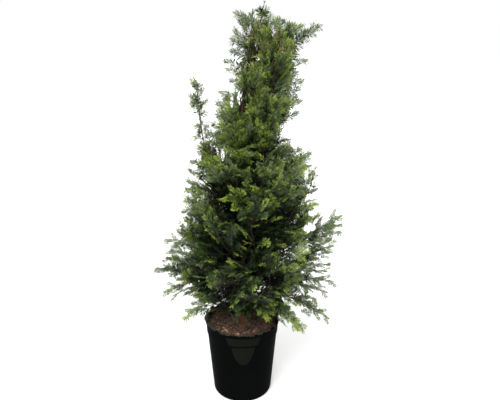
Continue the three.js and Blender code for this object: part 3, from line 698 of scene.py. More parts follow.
def grow_spray(spray, control, normal, lift, draw, fullness=1, spacing=TWIG["spacing"]):
    """A shoot and its side twigs. Lift is how far the twigs hang or turn up."""
    out = unit(control[2] - control[0])
    if out[2] > TWIG["steep"] and not spray["loose"]:
        x, y, z = control[2]
        facing = (x, y, 0) if y > abs(x) or draw() > TWIG["to_front"] else (0, -1, 0)
        normal = faced(out, normal, unit(facing), TWIG["steep_tilt"] * (draw() - 0.5))
    reach = length_of(control)
    share_of_reach, more = TWIG["shoot_foot"]
    radius = share_of_reach * reach + more
    add_twig(spray, control, normal, radius, TWIG["tip"], TWIG["shoot_bare"], 0)
    count = max(2, round(reach * (1 - TWIG["from"]) / spacing))
    uneven = TWIG["uneven"]
    least, more = TWIG["sizes"]
    for j in range(count):
        rank = j + 0.5 + uneven["place"] * (draw() - 0.5)
        share = TWIG["from"] + (TWIG["to"] - TWIG["from"]) * rank / count
        forward = tangent(control, share)[0]
        level = unit(normal - forward * np.dot(normal, forward))
        side = np.cross(level, forward) * (1 if j % 2 else -1)
        angle = TWIG["open"] - TWIG["close"] * share + uneven["open"] * (draw() - 0.5)
        angle = math.radians(angle)
        roll = uneven["roll"] * (draw() - 0.5)
        out = turned(forward * math.cos(angle) + side * math.sin(angle), forward, roll)
        size = TWIG["length"] * reach * (1 - TWIG["taper"] * share) * (least + more * draw())
        size = max(size, TWIG["least"]) * fullness
        foot = bezier(control, share)[0]
        end = foot + out * size + forward * size * TWIG["forward"]
        bend = foot + out * size * 0.5 - up(lift * size * TWIG["hang"])
        flat = unit(turned(level, forward, roll))
        add_twig(spray, [foot, bend, end], flat, TWIG["foot"], TWIG["tip"], TWIG["bare"], share)


def place_shoot(limb, shoot, start, slack):
    """The first way, length and facing in which a shoot keeps to its mass's space, if any."""
    turn_up = up(np.interp(start[2], TURN_UP[:, 0], TURN_UP[:, 1]))
    for size in SIZES:
        reach = max(shoot["length"], SHOOT["least"] * limb["size"]) * size
        reach *= TUFT_SHORT.get(limb["name"], 1)
        for turn in TURNS:
            direction = unit(shoot_direction(limb["leafy"], shoot, turn) + turn_up)
            across, normal = blade_axes(direction, shoot["tilt"])
            half = across * SHOOT["width"] / 2
            tip, middle = start + direction * reach, start + direction * reach * 0.6
            free = is_free(np.array([tip, middle + half, middle - half]), limb["own"], SPRAY_MARGIN)
            if free.all() and beyond_outline(tip[None])[0] < slack:
                return direction, reach, normal
    return None


def grow_mass(limb):
    draw = random_source(limb["seed"] * 100 + 98)
    tuft = limb["size"] < 1
    lift = LIMB_LIFT[limb["tier"]]
    for shoot in plan_shoots(limb):
        slack = between(SLACK, draw())
        if tuft:
            slack = TUFT_SLACK[limb["name"]]
        start = bezier(limb["leafy"], shoot["share"])[0]
        found = place_shoot(limb, shoot, start, slack)
        if found:
            direction, reach, normal = found
            middle = start + direction * reach * 0.5 - up(lift * reach)
            control = [start, middle, start + direction * reach]
            spray = new_spray(limb["own"], slack, draw(), needle=TUFT_NEEDLE if tuft else 1)
            grow_spray(spray, control, normal, lift, draw)


def grow_bare_tip():
    """The leader's tip, which stands bare over the crown."""
    foot = bezier(STEMS["trunk"]["curve"], 0.99)[0]
    control = arched(foot, np.array(BARE_TIP["end"], float))
    spray = new_spray(tufts[0]["own"], FREE, 0, "dark", True)
    sizes = (BARE_TIP[key] for key in ("foot", "tip", "bare"))
    add_twig(spray, control, np.array([0, 1.0, 0]), *sizes, 0)


def nearest_mass(place):
    gap = np.linalg.norm(cell_points - place, axis=1)
    return int(np.argmin(np.minimum.reduceat(gap, cell_starts)))


def grow_along(number, name, first, last, spacing, length, opening, most, slack, tint=None):
    """Short shoots on a stretch of a stem."""
    curve = STEMS[name]["curve"]
    count = round(length_of(curve) * (last - first) / spacing)
    draw = random_source(5000 + number)
    for k in range(count):
        share = first + (last - first) * (k + draw()) / count
        start = bezier(curve, share)[0]
        forward = tangent(curve, share)[0]
        side = unit(np.cross(forward, [0, 1, 0]))
        way = turned(turned(forward, side, between(opening, draw())), forward, k * GOLDEN)
        reach = min(between(length, draw()), most * middle_and_half(start[2])[1])
        end = start + way * reach
        spray = new_spray(nearest_mass(end), slack, draw(), tint, bool(tint))
        if beyond_outline(end[None])[0] > slack or end[2] < hem_at(end[None])[0]:
            continue
        normal = blade_axes(way, (draw() - 0.5) * ALONG_TILT)[1]
        grow_spray(spray, arched(start, end, -ALONG_SAG * reach), normal, ALONG_SAG, draw)


def plume_roots():
    """Places on the wood that a plume may grow from, and the mass that each belongs to."""
    on_limb, on_stem = PLUME_ROOTS_FROM
    wood = [(limb["own"], limb["curve"], on_limb) for limb in limbs + branches]
    wood += [(tuft["own"], STEMS[tuft["stem"]]["curve"], on_stem) for tuft in tufts]
    owners = np.repeat([own for own, curve, first in wood], PLUME_ROOTS)
    places = [bezier(curve, np.linspace(first, 1, PLUME_ROOTS)) for own, curve, first in wood]
    return owners, np.concatenate(places)


def grow_plumes():
    """The sprays that stand out of the crown, each from the wood nearest to its foot."""
    owners, places = plume_roots()
    for number, (x, y, z, reach, *given) in enumerate(PLUMES):
        draw = random_source(6000 + number)
        end = np.array([x, y, z], float)
        aside = x - middle_and_half(z)[0]
        rise = np.interp(z, PLUME_RISE[:, 0], PLUME_RISE[:, 1]) * math.hypot(aside, y)
        steeper = PLUME_STEEPER["rise"] if z > PLUME_STEEPER["from"] else 0
        wanted = end - unit([aside, y, rise + steeper]) * reach
        chosen = int(np.argmin(np.linalg.norm(places - wanted, axis=1)))
        start = places[chosen]
        out = unit(end - start)
        facing = PLUME_FACING["high" if z > PLUME_FACING["from"] else "low"]
        tilt = PLUME_FACING["uneven"] * (draw() - 0.5)
        normal = faced(out, blade_axes(out, 0)[1], facing, tilt)
        control = arched(start, end, PLUME_ARCH * reach)
        tint = given[0] if given else PLUME_TINTS[z > PLUME_TINTS_FROM][int(4 * draw())]
        shape = PLUME_LOW if z < PLUME_LOW["under"] and tint != "new" else PLUME_HIGH
        spray = new_spray(owners[chosen], FREE, draw(), tint, True, shape["needle"])
        grow_spray(spray, control, normal, PLUME_LIFT, draw, shape["fullness"], shape["spacing"])


def fits(items):
    """Whether each twig's tip is in its mass's space and no further out than its spray may be."""
    ends = np.array([t["control"][2] for t in items])
    owners, slack, loose = columns([t["spray"] for t in items], "own", "slack", "loose")
    clear = (is_free(ends, owners, TWIG_MARGIN) | loose & in_box(ends)) & ~in_sky(ends)
    return clear & (beyond_outline(ends) < slack + OVERSHOOT)


for limb in limbs + branches:
    grow_mass(limb)
grow_bare_tip()
for number, row in enumerate(ALONG):
    grow_along(number, *row)
grow_plumes()

# A side twig that doesn't fit is cut shorter, and then left out.
for twig, fine in zip(twigs, fits(twigs)):
    if not fine:
        twig["control"] = stretch(twig["control"], 0, TWIG_CUT)
        twig["length"] *= TWIG_CUT
twigs = [twig for twig, fine in zip(twigs, fits(twigs)) if fine]

# ---- making meshes


def add_piece(name, points, faces, material, slot, nodes, smooth=False):
    """A piece from points in millimetres and an array of faces with the same number of corners."""
    mesh = bpy.data.meshes.new(name)
    faces = np.asarray(faces, np.int32)
    mesh.vertices.add(len(points))
    mesh.vertices.foreach_set("co", (np.asarray(points, float) * MM).astype(np.float32).ravel())
    mesh.loops.add(faces.size)
    mesh.loops.foreach_set("vertex_index", faces.ravel())
    mesh.polygons.add(len(faces))
    loop_starts = np.arange(0, faces.size, faces.shape[1], dtype=np.int32)
    mesh.polygons.foreach_set("loop_start", loop_starts)
    mesh.polygons.foreach_set("use_smooth", np.full(len(faces), smooth))
    mesh.update(calc_edges=True)
    mesh.materials.append(material)
    piece = bpy.data.objects.new(name, mesh)
    bpy.context.scene.collection.objects.link(piece)
    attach(piece, "root")
    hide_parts(*nodes)
    return piece


def tube_faces(rings, sides):
    """The faces of a tube with open ends, whose ring k holds its points k * sides onwards."""
    ring = np.arange(rings - 1)[:, None] * sides
    side = np.arange(sides)[None]
    following = (side + 1) % sides
    corners = [ring + side, ring + following, ring + sides + following, ring + sides + side]
    return np.stack(corners, axis=-1).reshape(-1, 4)


def repeated_faces(count, corners, pattern):
    """The faces of many alike shapes with as many corners each, from the faces of one."""
    faces = np.arange(count)[:, None, None] * corners + pattern
    return faces.reshape(-1, np.shape(pattern)[1])


def join(shapes):
    """One array of points and one of faces from several of each."""
    counts = np.cumsum([0] + [len(points) for points, faces in shapes])
    faces = [faces + count for (points, faces), count in zip(shapes, counts)]
    return np.concatenate([points for points, faces in shapes]), np.concatenate(faces)


# ---- materials


def new_material(name, colour, roughness, **sockets):
    """A principled material, its shader, and a function that adds a node to it.

    That function sets each value on the node's own property or else on its input of that name,
    and links the input where the value is another node's output.
    """
    material = bpy.data.materials.new(name)
    material.use_nodes = True
    tree = material.node_tree
    shader = tree.nodes["Principled BSDF"]

    def fill(node, values):
        for key, value in values.items():
            if hasattr(node, key):
                setattr(node, key, value)
            elif isinstance(value, bpy.types.NodeSocket):
                tree.links.new(value, node.inputs[key.replace("_", " ")])
            else:
                node.inputs[key.replace("_", " ")].default_value = value
        return node

    def add(kind, **values):
        return fill(tree.nodes.new(kind), values)

    fill(shader, {"Base_Color": (*colour, 1), "Roughness": roughness, **sockets})
    return material, shader, add, fill


def mix_colours(add, factor, colour, other):
    """A mix of two colours by a factor."""
    mix = add("ShaderNodeMix", data_type="RGBA", Factor=factor)
    mix.inputs[6].default_value = (*colour, 1)
    mix.inputs[7].default_value = (*other, 1)
    return mix.outputs[2]


def noisy_material(name, colour, other, roughness, scale, bump, stretch_z=1.0, **sockets):
    """Two near colours and a bump, mixed by a noise that lies in the object's own space."""
    material, shader, add, fill = new_material(name, colour, roughness, **sockets)
    place = add("ShaderNodeTexCoord").outputs["Object"]
    mapping = add("ShaderNodeMapping", Scale=(1, 1, stretch_z), Vector=place)
    grain = add("ShaderNodeTexNoise", Scale=scale, Detail=5.0, Roughness=0.6,
                Vector=mapping.outputs["Vector"]).outputs["Fac"]
    ramp = add("ShaderNodeMapRange", From_Min=0.35, From_Max=0.65, Value=grain)
    relief = add("ShaderNodeBump", Strength=bump, Distance=0.001, Height=grain)
    base = mix_colours(add, ramp.outputs["Result"], colour, other)
    fill(shader, {"Base_Color": base, "Normal": relief.outputs["Normal"]})
    return material


def shade(colour, factor):
    return tuple(min(1.0, c * factor) for c in colour)


# Plain needle colours, from the dark heart of the crown to this year's tips. The near-black deep
# one is painted shade, for needles inside the crown and at the twigs' feet; the grey and silver
# ones are painted sheen on sprays at the crown's sides.
NEEDLE_COLOURS = {
    "deep": (0.0065, 0.012, 0.0055),
    "mid": (0.031, 0.055, 0.012),
    "bright": (0.092, 0.138, 0.024),
    "fresh": (0.180, 0.245, 0.038),
    "grey": (0.070, 0.102, 0.040),
    "silver": (0.120, 0.158, 0.070),
    "olive": (0.125, 0.124, 0.038),
}
STAGES = (0.42, 0.68)  # where on a twig its needles' second and third colours start
# How much a needle's place on a side twig, and the twig's own place on its shoot, count in that:
# needles further out are younger and paler, and those further in are darker, partly as painted
# shade.
AGE_AND_SHADE = {"on_twig": 0.7, "on_shoot": 0.42, "less": 0.02, "uneven": 0.05}
# The needles of a twig from its foot to its tip. The darker colours at a twig's foot, and the
# heart and dark sets, are painted shade; the grey ones of the pale and cool sets are painted sheen.
SPRAY_COLOURS = {
    "heart": ("deep", "deep", "deep"),
    "dark": ("deep", "deep", "mid"),
    "green": ("deep", "mid", "bright"),
    "light": ("mid", "bright", "fresh"),
    "new": ("deep", "bright", "fresh"),
    "pale": ("mid", "grey", "silver"),
    "bronze": ("mid", "olive", "olive"),
    "cool": ("deep", "grey", "grey"),
}
TOP_FROM = 1160  # the height from which the crown has the colours of its top
ALIKE = 0.3  # the share of a spray's twigs that take the spray's chance and not their own


def deal_colour(place, chance):
    """The colours of a twig, by chance and by how far out its tip lies. Twigs further in, and
    more of them low down, take the heart's and dark colours, which are painted shade; more of
    those at the sides take grey ones, which are painted sheen.
    """
    x, y, z = place
    middle, half = middle_and_half(z)
    away = max(1, math.hypot(x - middle, y))
    out = away / half
    side = abs(x - middle) / away
    if z > TOP_FROM:
        if chance < 0.22:
            return "bronze"
        # Painted shade: dark twigs inside the top.
        if out < 0.4:
            return "dark"
        if chance < 0.5:
            return "cool" if chance < 0.4 else "pale"
        return "green" if chance < 0.64 else "light"
    # Painted shade: twigs further in, and more of them low down, are darker.
    deep = 1 - 0.25 * min(1, max(0, (z - 700) / 300))
    if out < 0.66 * deep:
        return "heart"
    if out < 0.8 * deep:
        return "dark"
    # Painted sheen: grey sprays at the crown's sides.
    if side > 0.75 and chance < 0.6:
        return "pale" if chance < 0.18 else "cool"
    if z > 900 and chance < 0.3:
        return "cool" if chance < 0.18 else "pale"
    few = 0.17 * min(1, max(0.3, (900 - z) / 200))
    if chance > 0.52 + few:
        return "new"
    return "green" if chance > 0.22 + 2 * few else "dark"


def deal_colours():
    """The name of each twig's colours."""
    draw = random_source(7000)
    names = []
    for twig in twigs:
        alike, chance = draw(), draw()
        spray = twig["spray"]
        chance = spray["chance"] if alike < ALIKE else chance
        names.append(spray["tint"] or deal_colour(twig["control"][2], chance))
    return names


# ---- needles

# A needle is narrow at its foot, widest past its middle and pointed: shares along it and of its
# width. One in the crown's dark heart is a plain kite.
NEEDLE_CORNERS = ((0, 0.16), (0, -0.16), (0.64, 0.5), (0.64, -0.5), (1, 0))
NEEDLE_FACES = np.array([(0, 1, 3), (0, 3, 2), (2, 3, 4)])
KITE_CORNERS = ((0, 0), (0.5, 0.5), (0.5, -0.5), (1, 0))
KITE_FACES = np.array([(0, 2, 1), (1, 2, 3)])
MOST_TRIANGLES = 190000  # in one piece


def plan_needles(rng):
    """Where the needles that show stand, how they lie, their sizes and their colours' names."""
    counts = np.array([
        max(6, round(t["length"] * (1 - t["from"]) / NEEDLE["spacing"])) for t in twigs
    ])
    which = np.repeat(np.arange(len(twigs)), counts)
    total = len(which)

    def noise_of(key):
        return rng.normal(0, NEEDLE["uneven"][key], total)

    first, start_rank, control, normal = (
        values[which] for values in columns(twigs, "from", "rank", "control", "normal")
    )
    shorter, loose = (
        values[which] for values in columns([t["spray"] for t in twigs], "needle", "loose")
    )
    rank = np.arange(total) - np.repeat(np.cumsum(counts) - counts, counts)
    share = first + (1 - first) * (rank + rng.random(total)) / counts[which]
    foot, along = on_curves(*(control[:, k] for k in range(3)), share[:, None])
    normal = square_to(along, normal)
    radial = along[:, 2] > NEEDLE["radial_rise"]
    flat_turn = np.where(rank % 2, 90, -90) + noise_of("turn")
    turn = np.radians(np.where(radial, rank * GOLDEN, flat_turn))[:, None]
    sideways = normal * np.cos(turn) + np.cross(along, normal) * np.sin(turn)
    opening = NEEDLE["open"] - NEEDLE["close"] * share**2 + noise_of("open")
    opening = np.radians(opening)[:, None]
    way = along * np.cos(opening) + sideways * np.sin(opening)
    facing = square_to(way, np.where(radial[:, None], along, normal))
    roll = np.radians(noise_of("roll"))[:, None]
    across = np.cross(way, facing) * np.cos(roll) + facing * np.sin(roll)

    # Age and painted shade: needles nearer a twig's foot and a shoot's foot take the darker
    # colours.
    age_and_shade = AGE_AND_SHADE["on_twig"] * share + AGE_AND_SHADE["on_shoot"] * start_rank - AGE_AND_SHADE["less"]
    age_and_shade = np.where(start_rank == 0, share, age_and_shade) + rng.normal(0, AGE_AND_SHADE["uneven"], total)
    stage = (age_and_shade > STAGES[0]).astype(int) + (age_and_shade > STAGES[1])
    colour = np.array([SPRAY_COLOURS[name] for name in deal_colours()])[which, stage]
    # Deep needles are painted shade, inside the crown and at the twigs' feet.
    hidden = colour == "deep"

    dark = NEEDLE["dark"]
    size = np.interp(foot[:, 2], *np.array(NEEDLE["lengths"]).T)
    least, more = NEEDLE["sizes"]
    size *= (least + more * rng.random(total)) * np.where(hidden, dark["longer"], 1)
    # Those at a twig's foot and near its tip are shorter.
    size *= np.clip(0.6 + 3 * (share - first), 0, 1)
    size *= 1 - 0.4 * np.clip((share - 0.8) * 5, 0, 1)
    size = (size * shorter)[:, None]
    least, more = NEEDLE["widths"]
    width = NEEDLE["width"] * (least + more * rng.random(total))
    width *= np.where(hidden, dark["wider"], 1)
    wider = loose & ~hidden & (foot[:, 2] < NEEDLE["loose"]["under"])
    width = (width * np.where(wider, NEEDLE["loose"]["wider"], 1))[:, None]

    middles = foot + way * size * 0.6
    shown = ~in_sky(middles) & ~before_trunk(middles)
    shown &= ~hidden | (rng.random(total) < dark["kept"])
    bend = along * NEEDLE["forward"] - up(NEEDLE["hang"])
    shape = {"foot": foot, "way": way, "bend": bend, "size": size, "across": across * width}
    return {key: value[shown] for key, value in shape.items()}, colour[shown]


def needle_corners(shape, outline):
    """Points of some needles, whose outline gives a share along and one of the width."""
    corners = []
    for s, half in outline:
        spine = shape["foot"] + (shape["way"] * s + shape["bend"] * s * s) * shape["size"]
        corners.append(spine + shape["across"] * half)
    return np.stack(corners, axis=1).reshape(-1, 3)


def make_needles():
    """One piece of needles for each colour, or more where it has too many for one."""
    shape, colour = plan_needles(np.random.default_rng(11))
    for name, base in NEEDLE_COLOURS.items():
        material = noisy_material(
            f"needles_{name}", base, shade(base, 1.25), 0.42, 90, 0.15, Specular_IOR_Level=0.24
        )
        kite = name == "deep"
        outline, pattern = (KITE_CORNERS, KITE_FACES) if kite else (NEEDLE_CORNERS, NEEDLE_FACES)
        chosen = np.flatnonzero(colour == name)
        parts = max(1, math.ceil(len(chosen) * len(pattern) / MOST_TRIANGLES))
        for part, some in enumerate(np.array_split(chosen, parts)):
            points = needle_corners({key: value[some] for key, value in shape.items()}, outline)
            faces = repeated_faces(len(some), len(outline), pattern)
            add_piece(f"needles_{name}_{part + 1}", points, faces, material, "needles", mass_nodes)


mass_nodes = [f"foliage_{limb['name']}" for limb in limbs]
make_needles()

# ---- wood

# name: colour, second colour, roughness, scale of the grain, bump, stretch along z
WOODS = {
    "bark": ((0.060, 0.028, 0.015), (0.12, 0.062, 0.036), 0.85, 160, 0.6, 0.25),
    "limb_bark": ((0.013, 0.010, 0.005), (0.030, 0.020, 0.011), 0.85, 160, 0.5),
    "twig_wood": ((0.018, 0.016, 0.007), (0.034, 0.032, 0.012), 0.7, 120, 0.2),
    "twig_green": ((0.028, 0.040, 0.010), (0.045, 0.055, 0.014), 0.6, 120, 0.1),
}
woods = {
    name: noisy_material(name, *values, Specular_IOR_Level=0.2) for name, values in WOODS.items()
}
STEM_RINGS = {"trunk": 240, "stem_right": 170, "stem_left": 110}
COLLAR = {"out": 9, "swell": 1.4, "spread": 10}  # where a limb leaves a stem
LIMB_INSIDE = 12  # how far inside the finer crown a limb's own wood ends


def tubes(items, sides, rings):
    """Tapering tubes along quadratic curves: one array of points and one of faces."""
    control, normal, foot, tip = columns(items, "control", "normal", "foot", "tip")
    s = np.linspace(0, 1, rings)[None, :, None]
    spine, along = on_curves(*(control[:, k][:, None] for k in range(3)), s)
    normal = square_to(along, normal[:, None])
    across = np.cross(along, normal)
    radius = (foot[:, None] + (tip - foot)[:, None] * s[..., 0])[..., None, None]
    turn = (np.arange(sides) * 2 * math.pi / sides)[None, None, :, None]
    around = normal[:, :, None] * np.cos(turn) + across[:, :, None] * np.sin(turn)
    points = spine[:, :, None] + around * radius
    faces = repeated_faces(len(items), rings * sides, tube_faces(rings, sides))
    return points.reshape(-1, 3), faces


def rod(control, radius_at, sides, rings, relief, collars=()):
    """A limb with ridges and flakes of bark, swollen where other limbs leave it."""
    share = np.linspace(0, 1, rings) ** 1.2
    spine = bezier(control, share)
    along = tangent(control, share)
    level = unit(np.cross([0, 1, 0], along))
    other = np.cross(along, level)
    radius = radius_at(share)
    points = []
    for k in range(rings):
        depth = min(1, radius[k] / 6)
        for turn in full_turn(sides):
            way = level[k] * math.cos(turn) + other[k] * math.sin(turn)
            at = spine[k] + way * radius[k]
            ridge = noise.noise(Vector((at[0] * 0.28, at[1] * 0.28, at[2] * 0.035)))
            flake = noise.noise(Vector((at[0] * 0.5 + 9, at[1] * 0.5, at[2] * 0.12)))
            near = (np.linalg.norm(at - collar) / COLLAR["spread"] for collar in collars)
            swell = sum(COLLAR["swell"] * math.exp(-(gap**2)) for gap in near)
            points.append(at + way * (relief * depth * (ridge + 0.6 * flake) + swell * depth))
    return np.array(points), tube_faces(rings, sides)


def limb_radius(foot, share):
    return foot + (LIMB["tip"] - foot) * share


def inside_part(control):
    """A limb's curve, cut where it would leave the finer crown."""
    shares = np.linspace(0, 1, 41)
    out = beyond_outline(bezier(control, shares)) > -LIMB_INSIDE
    return stretch(control, 0, shares[max(int(np.argmax(out)) - 1, 6)] if out.any() else 1)


def make_wood():
    """The twigs, the stems and the limbs."""
    shoots = [t for t in twigs if t["foot"] > TWIG["foot"]]
    side_twigs = [t for t in twigs if t["foot"] <= TWIG["foot"]]
    add_piece("shoots", *tubes(shoots, 4, 5), woods["twig_wood"], "bark", mass_nodes, True)
    green = woods["twig_green"]
    add_piece("side_twigs", *tubes(side_twigs, 3, 3), green, "needles", mass_nodes, True)
    shapes = []
    for name, stem in STEMS.items():
        feet = []
        for limb in limbs[:-len(TUFTS)]:
            if limb["stem"] == name:
                foot, middle, end = limb["curve"]
                feet.append(foot + unit(middle - foot) * COLLAR["out"])
        radius_at = partial(stem_radius, name)
        shapes.append(rod(stem["curve"], radius_at, 20, STEM_RINGS[name], relief=1.3, collars=feet))
    add_piece("bark_stems", *join(shapes), woods["bark"], "bark", list(STEMS), True)
    shapes = []
    for limb in limbs + branches:
        control = limb["curve"] if limb["size"] < 1 else inside_part(limb["curve"])
        rings = max(8, round(length_of(control) / 10))
        shapes.append(rod(control, partial(limb_radius, limb["foot"]), 6, rings, relief=0.7))
    nodes = [f"bough_low_{i}" for i in range(1, 6)] + mass_nodes
    add_piece("bark_limbs", *join(shapes), woods["limb_bark"], "bark", nodes, True)


make_wood()

# ---- the pot

POT = {
    "lip_depth": 8,
    "lip_proud": 2.5,
    "collar_depth": 45,
    "collar_taper": 2,
    "step_in": 2.5,
    "base_radius": 111,
    "edge_round": 11,
    "wall": 2.4,
}
PANEL = {"turn": 1.5, "proud": 1.6, "soft": 0.9, "spread": 31, "from": 160}
PLATE = {"top": 289, "foot": 257, "top_half": 64, "foot_half": 53}
TONGUE = {"top": 252.5, "side": [(44, 252.5), (36.96, 206.5), (17, 180.5)], "bottom": 166.5}
RIB = {"x": 5, "half": 1.2, "foot": 205, "top": 286, "proud": 0.6}
BUTTON = {"x": 1, "z": 184, "half": (6.5, 3.6), "proud": 0.8}
STEP_TOP = POT_HEIGHT - POT["collar_depth"]
LIP_FOOT = POT_HEIGHT - POT["lip_depth"]


def pot_radius(height):
    """The radius of the pot's wall or collar, without the lip."""
    top = POT_RIM - POT["lip_proud"]
    if height >= STEP_TOP:
        return top - POT["collar_taper"] * (POT_HEIGHT - height) / POT["collar_depth"]
    wall_top = top - POT["collar_taper"] - POT["step_in"]
    return POT["base_radius"] + (wall_top - POT["base_radius"]) * height / STEP_TOP


def soft_step(value, width):
    """0 below, 1 above, and smooth over a width about zero."""
    t = np.clip(value / width + 0.5, 0, 1)
    return t * t * (3 - 2 * t)


def on_panel(x, z):
    """1 on the moulded plate and on the tongue under it, and 0 off them."""
    soft = PANEL["soft"]
    half = np.interp(z, [PLATE["foot"], PLATE["top"]], [PLATE["foot_half"], PLATE["top_half"]])
    plate = soft_step(half - abs(x), soft) * soft_step(z - PLATE["foot"], soft)
    plate *= soft_step(PLATE["top"] - z, soft)
    side = bezier(TONGUE["side"], np.linspace(1, 0, 12))
    half = np.interp(z, side[:, 1], side[:, 0])
    corner_x, corner_z = TONGUE["side"][2]
    across = np.clip((x / corner_x + 1) / 2, 0, 1)
    bottom = corner_z - 2 * (corner_z - TONGUE["bottom"]) * across * (1 - across)
    tongue = soft_step(half - abs(x), soft) * soft_step(TONGUE["top"] - z, soft)
    tongue *= soft_step(z - bottom, soft)
    return max(plate, tongue)


def panel_relief(x, z):
    """How far the moulding stands proud at a place across the front and up it."""
    soft = PANEL["soft"]
    rib = soft_step(RIB["half"] - abs(x - RIB["x"]), soft)
    rib *= soft_step(z - RIB["foot"], soft) * soft_step(RIB["top"] - z, soft)
    wide, high = BUTTON["half"]
    button = soft_step(1 - math.hypot((x - BUTTON["x"]) / wide, (z - BUTTON["z"]) / high), 0.4)
    return on_panel(x, z) * (PANEL["proud"] + RIB["proud"] * rib + BUTTON["proud"] * button)


def pot_profile():
    """The shell's profile: a radius and a height each, from the middle outwards, up and back in."""

    def wall(first, last, step):
        return [(pot_radius(z), z) for z in np.arange(first, last, step)]

    edge, rim, top = POT["edge_round"], POT_RIM, POT_HEIGHT
    centre = pot_radius(edge) - edge
    step_foot = STEP_TOP - POT["step_in"]
    foot_radius, step_radius = pot_radius(step_foot), pot_radius(STEP_TOP)
    inner = pot_radius(top) - POT["wall"]
    rounded = [math.radians(degrees) for degrees in range(10, 100, 10)]
    profile = [(0.01, 0), (60, 0), (centre, 0)]
    profile += [(centre + edge * math.sin(a), edge * (1 - math.cos(a))) for a in rounded]
    profile += wall(24, 165, 18) + wall(165, step_foot - 0.8, 1.7)
    profile += [(foot_radius + 0.1, step_foot), (foot_radius + 0.6, step_foot + 0.7)]
    profile += [(step_radius - 0.8, STEP_TOP - 0.8), (step_radius, STEP_TOP + 0.6)]
    profile += wall(STEP_TOP + 1.6, LIP_FOOT - 0.8, 1.7)
    profile += [(pot_radius(LIP_FOOT) + 0.1, LIP_FOOT - 0.3), (rim - 0.7, LIP_FOOT + 0.1)]
    profile += [(rim, LIP_FOOT + 1.2), (rim, top - 1.6), (rim - 0.6, top - 0.4)]
    profile += [(rim - 1.6, top), (inner + 0.8, top), (inner, top - 0.8)]
    profile += [(inner - 1.4, 286), (inner - 6, 240), (pot_radius(edge) - POT["wall"], edge)]
    return profile + [(centre, 3), (0.01, 3)]


def build_pot():
    """Points and faces of the shell, and which of its faces lie on the panel."""
    spread = PANEL["spread"]
    rest = np.linspace(spread, 360 - spread, 110)[1:-1]
    turns = np.concatenate([np.linspace(-spread, spread, 150), rest])
    profile = pot_profile()
    points, marked = [], []
    for radius, z in profile:
        outside = radius > pot_radius(min(z, POT_HEIGHT)) - 0.5
        outside = outside and PANEL["from"] < z < LIP_FOOT - 1
        for degrees in turns:
            turn = math.radians(degrees + PANEL["turn"] - 90)
            grown, level = radius, 0
            if outside and abs(degrees) <= spread:
                x = radius * math.sin(math.radians(degrees))
                grown += panel_relief(x, z)
                level = on_panel(x, z)
            points.append(on_circle(grown, turn, z))
            marked.append(level > 0.6)
    faces = tube_faces(len(profile), len(turns))
    return np.array(points), faces, np.array(marked)[faces].all(axis=1)


def pot_material(name, colour, smooth, rough):
    """Moulded plastic, a little uneven in its gloss, with a faint pebbled skin and dust."""
    material, shader, add, fill = new_material(name, colour, smooth, IOR=1.025)
    place = add("ShaderNodeTexCoord").outputs["Object"]
    dust = add("ShaderNodeTexNoise", Scale=7.0, Detail=6.0, Roughness=0.65, Vector=place)
    dust = dust.outputs["Fac"]
    wear = add("ShaderNodeMapRange", From_Min=0.4, From_Max=0.75, To_Min=smooth, To_Max=rough,
               Value=dust)
    pebble = add("ShaderNodeTexNoise", Scale=900.0, Detail=2.0, Vector=place).outputs["Fac"]
    skin = add("ShaderNodeBump", Strength=0.12, Distance=0.0006, Height=pebble)
    fill(shader, {
        "Roughness": wear.outputs["Result"],
        "Base_Color": mix_colours(add, dust, colour, [1.7 * c + 0.0009 for c in colour]),
        "Normal": skin.outputs["Normal"],
    })
    return material


def make_pot():
    points, faces, on_panel_faces = build_pot()
    plastic = pot_material("pot_plastic", (0.0013, 0.0014, 0.0015), 0.34, 0.5)
    pot = add_piece("pot_shell", points, faces, plastic, "pot", ["pot"], True)
    pot.data.materials.append(pot_material("pot_panel", (0.0040, 0.0046, 0.0036), 0.5, 0.6))
    pot.data.polygons.foreach_set("material_index", on_panel_faces.astype(np.int32))
    pot.data.set_sharp_from_angle(angle=math.radians(40))


make_pot()

# ---- soil, bark chips and litter

SOIL = {"edge": 134.2, "skirt": (130, 270), "low": 288, "dome": 6, "dome_reach": 132}
# How far from the middle of the soil its chips, dead needles, moss and pale flakes lie.
LITTER_REACH = {"chips": 122, "needles": 113, "moss": 131, "flakes": 121}
# name: how many, colour
CHIPS = {
    "rust": (500, (0.085, 0.030, 0.014)),
    "tan": (230, (0.135, 0.075, 0.042)),
    "brown": (760, (0.030, 0.018, 0.011)),
    "peat": (620, (0.012, 0.009, 0.006)),
}
CHIP_SPANS = ((5, 17), (3, 8), (0.8, 2.2))  # length, width and thickness
FLAKE_SPANS = ((9, 22), (5, 10), (0.8, 1.8))
FLAKES = ((-22, -108, 16), (-62, -84, 8), (20, -112, 7), (48, -96, 6))  # x, y, how many
CUBE = np.array([(x, y, z) for x in (-1, 1) for y in (-1, 1) for z in (-1, 1)], float)
CUBE_FACES = np.array(
    [(0, 1, 3, 2), (4, 6, 7, 5), (0, 4, 5, 1), (2, 3, 7, 6), (0, 2, 6, 4), (1, 5, 7, 3)]
)
# Moss on the rim: how many blades are tried, and the azimuths of all of it and of its heap.
RIM_MOSS = {
    "blades": 20000, "turns": (80, 335), "front_from": 190, "heap_at": 168, "heap_spread": 28,
}
WEED = {"stalks": 9, "foot": (-24, -30, 290), "apart": 5}

rng = np.random.default_rng(23)


def soil_height(x, y):
    bumps = noise.noise(Vector((x * 0.035, y * 0.035, 3))) * 4
    bumps += noise.noise(Vector((x * 0.12, y * 0.12, 7))) * 1.8
    level = (1 - min(1, math.hypot(x, y) / SOIL["dome_reach"])) ** 0.7
    return SOIL["low"] + SOIL["dome"] * level + bumps - 2


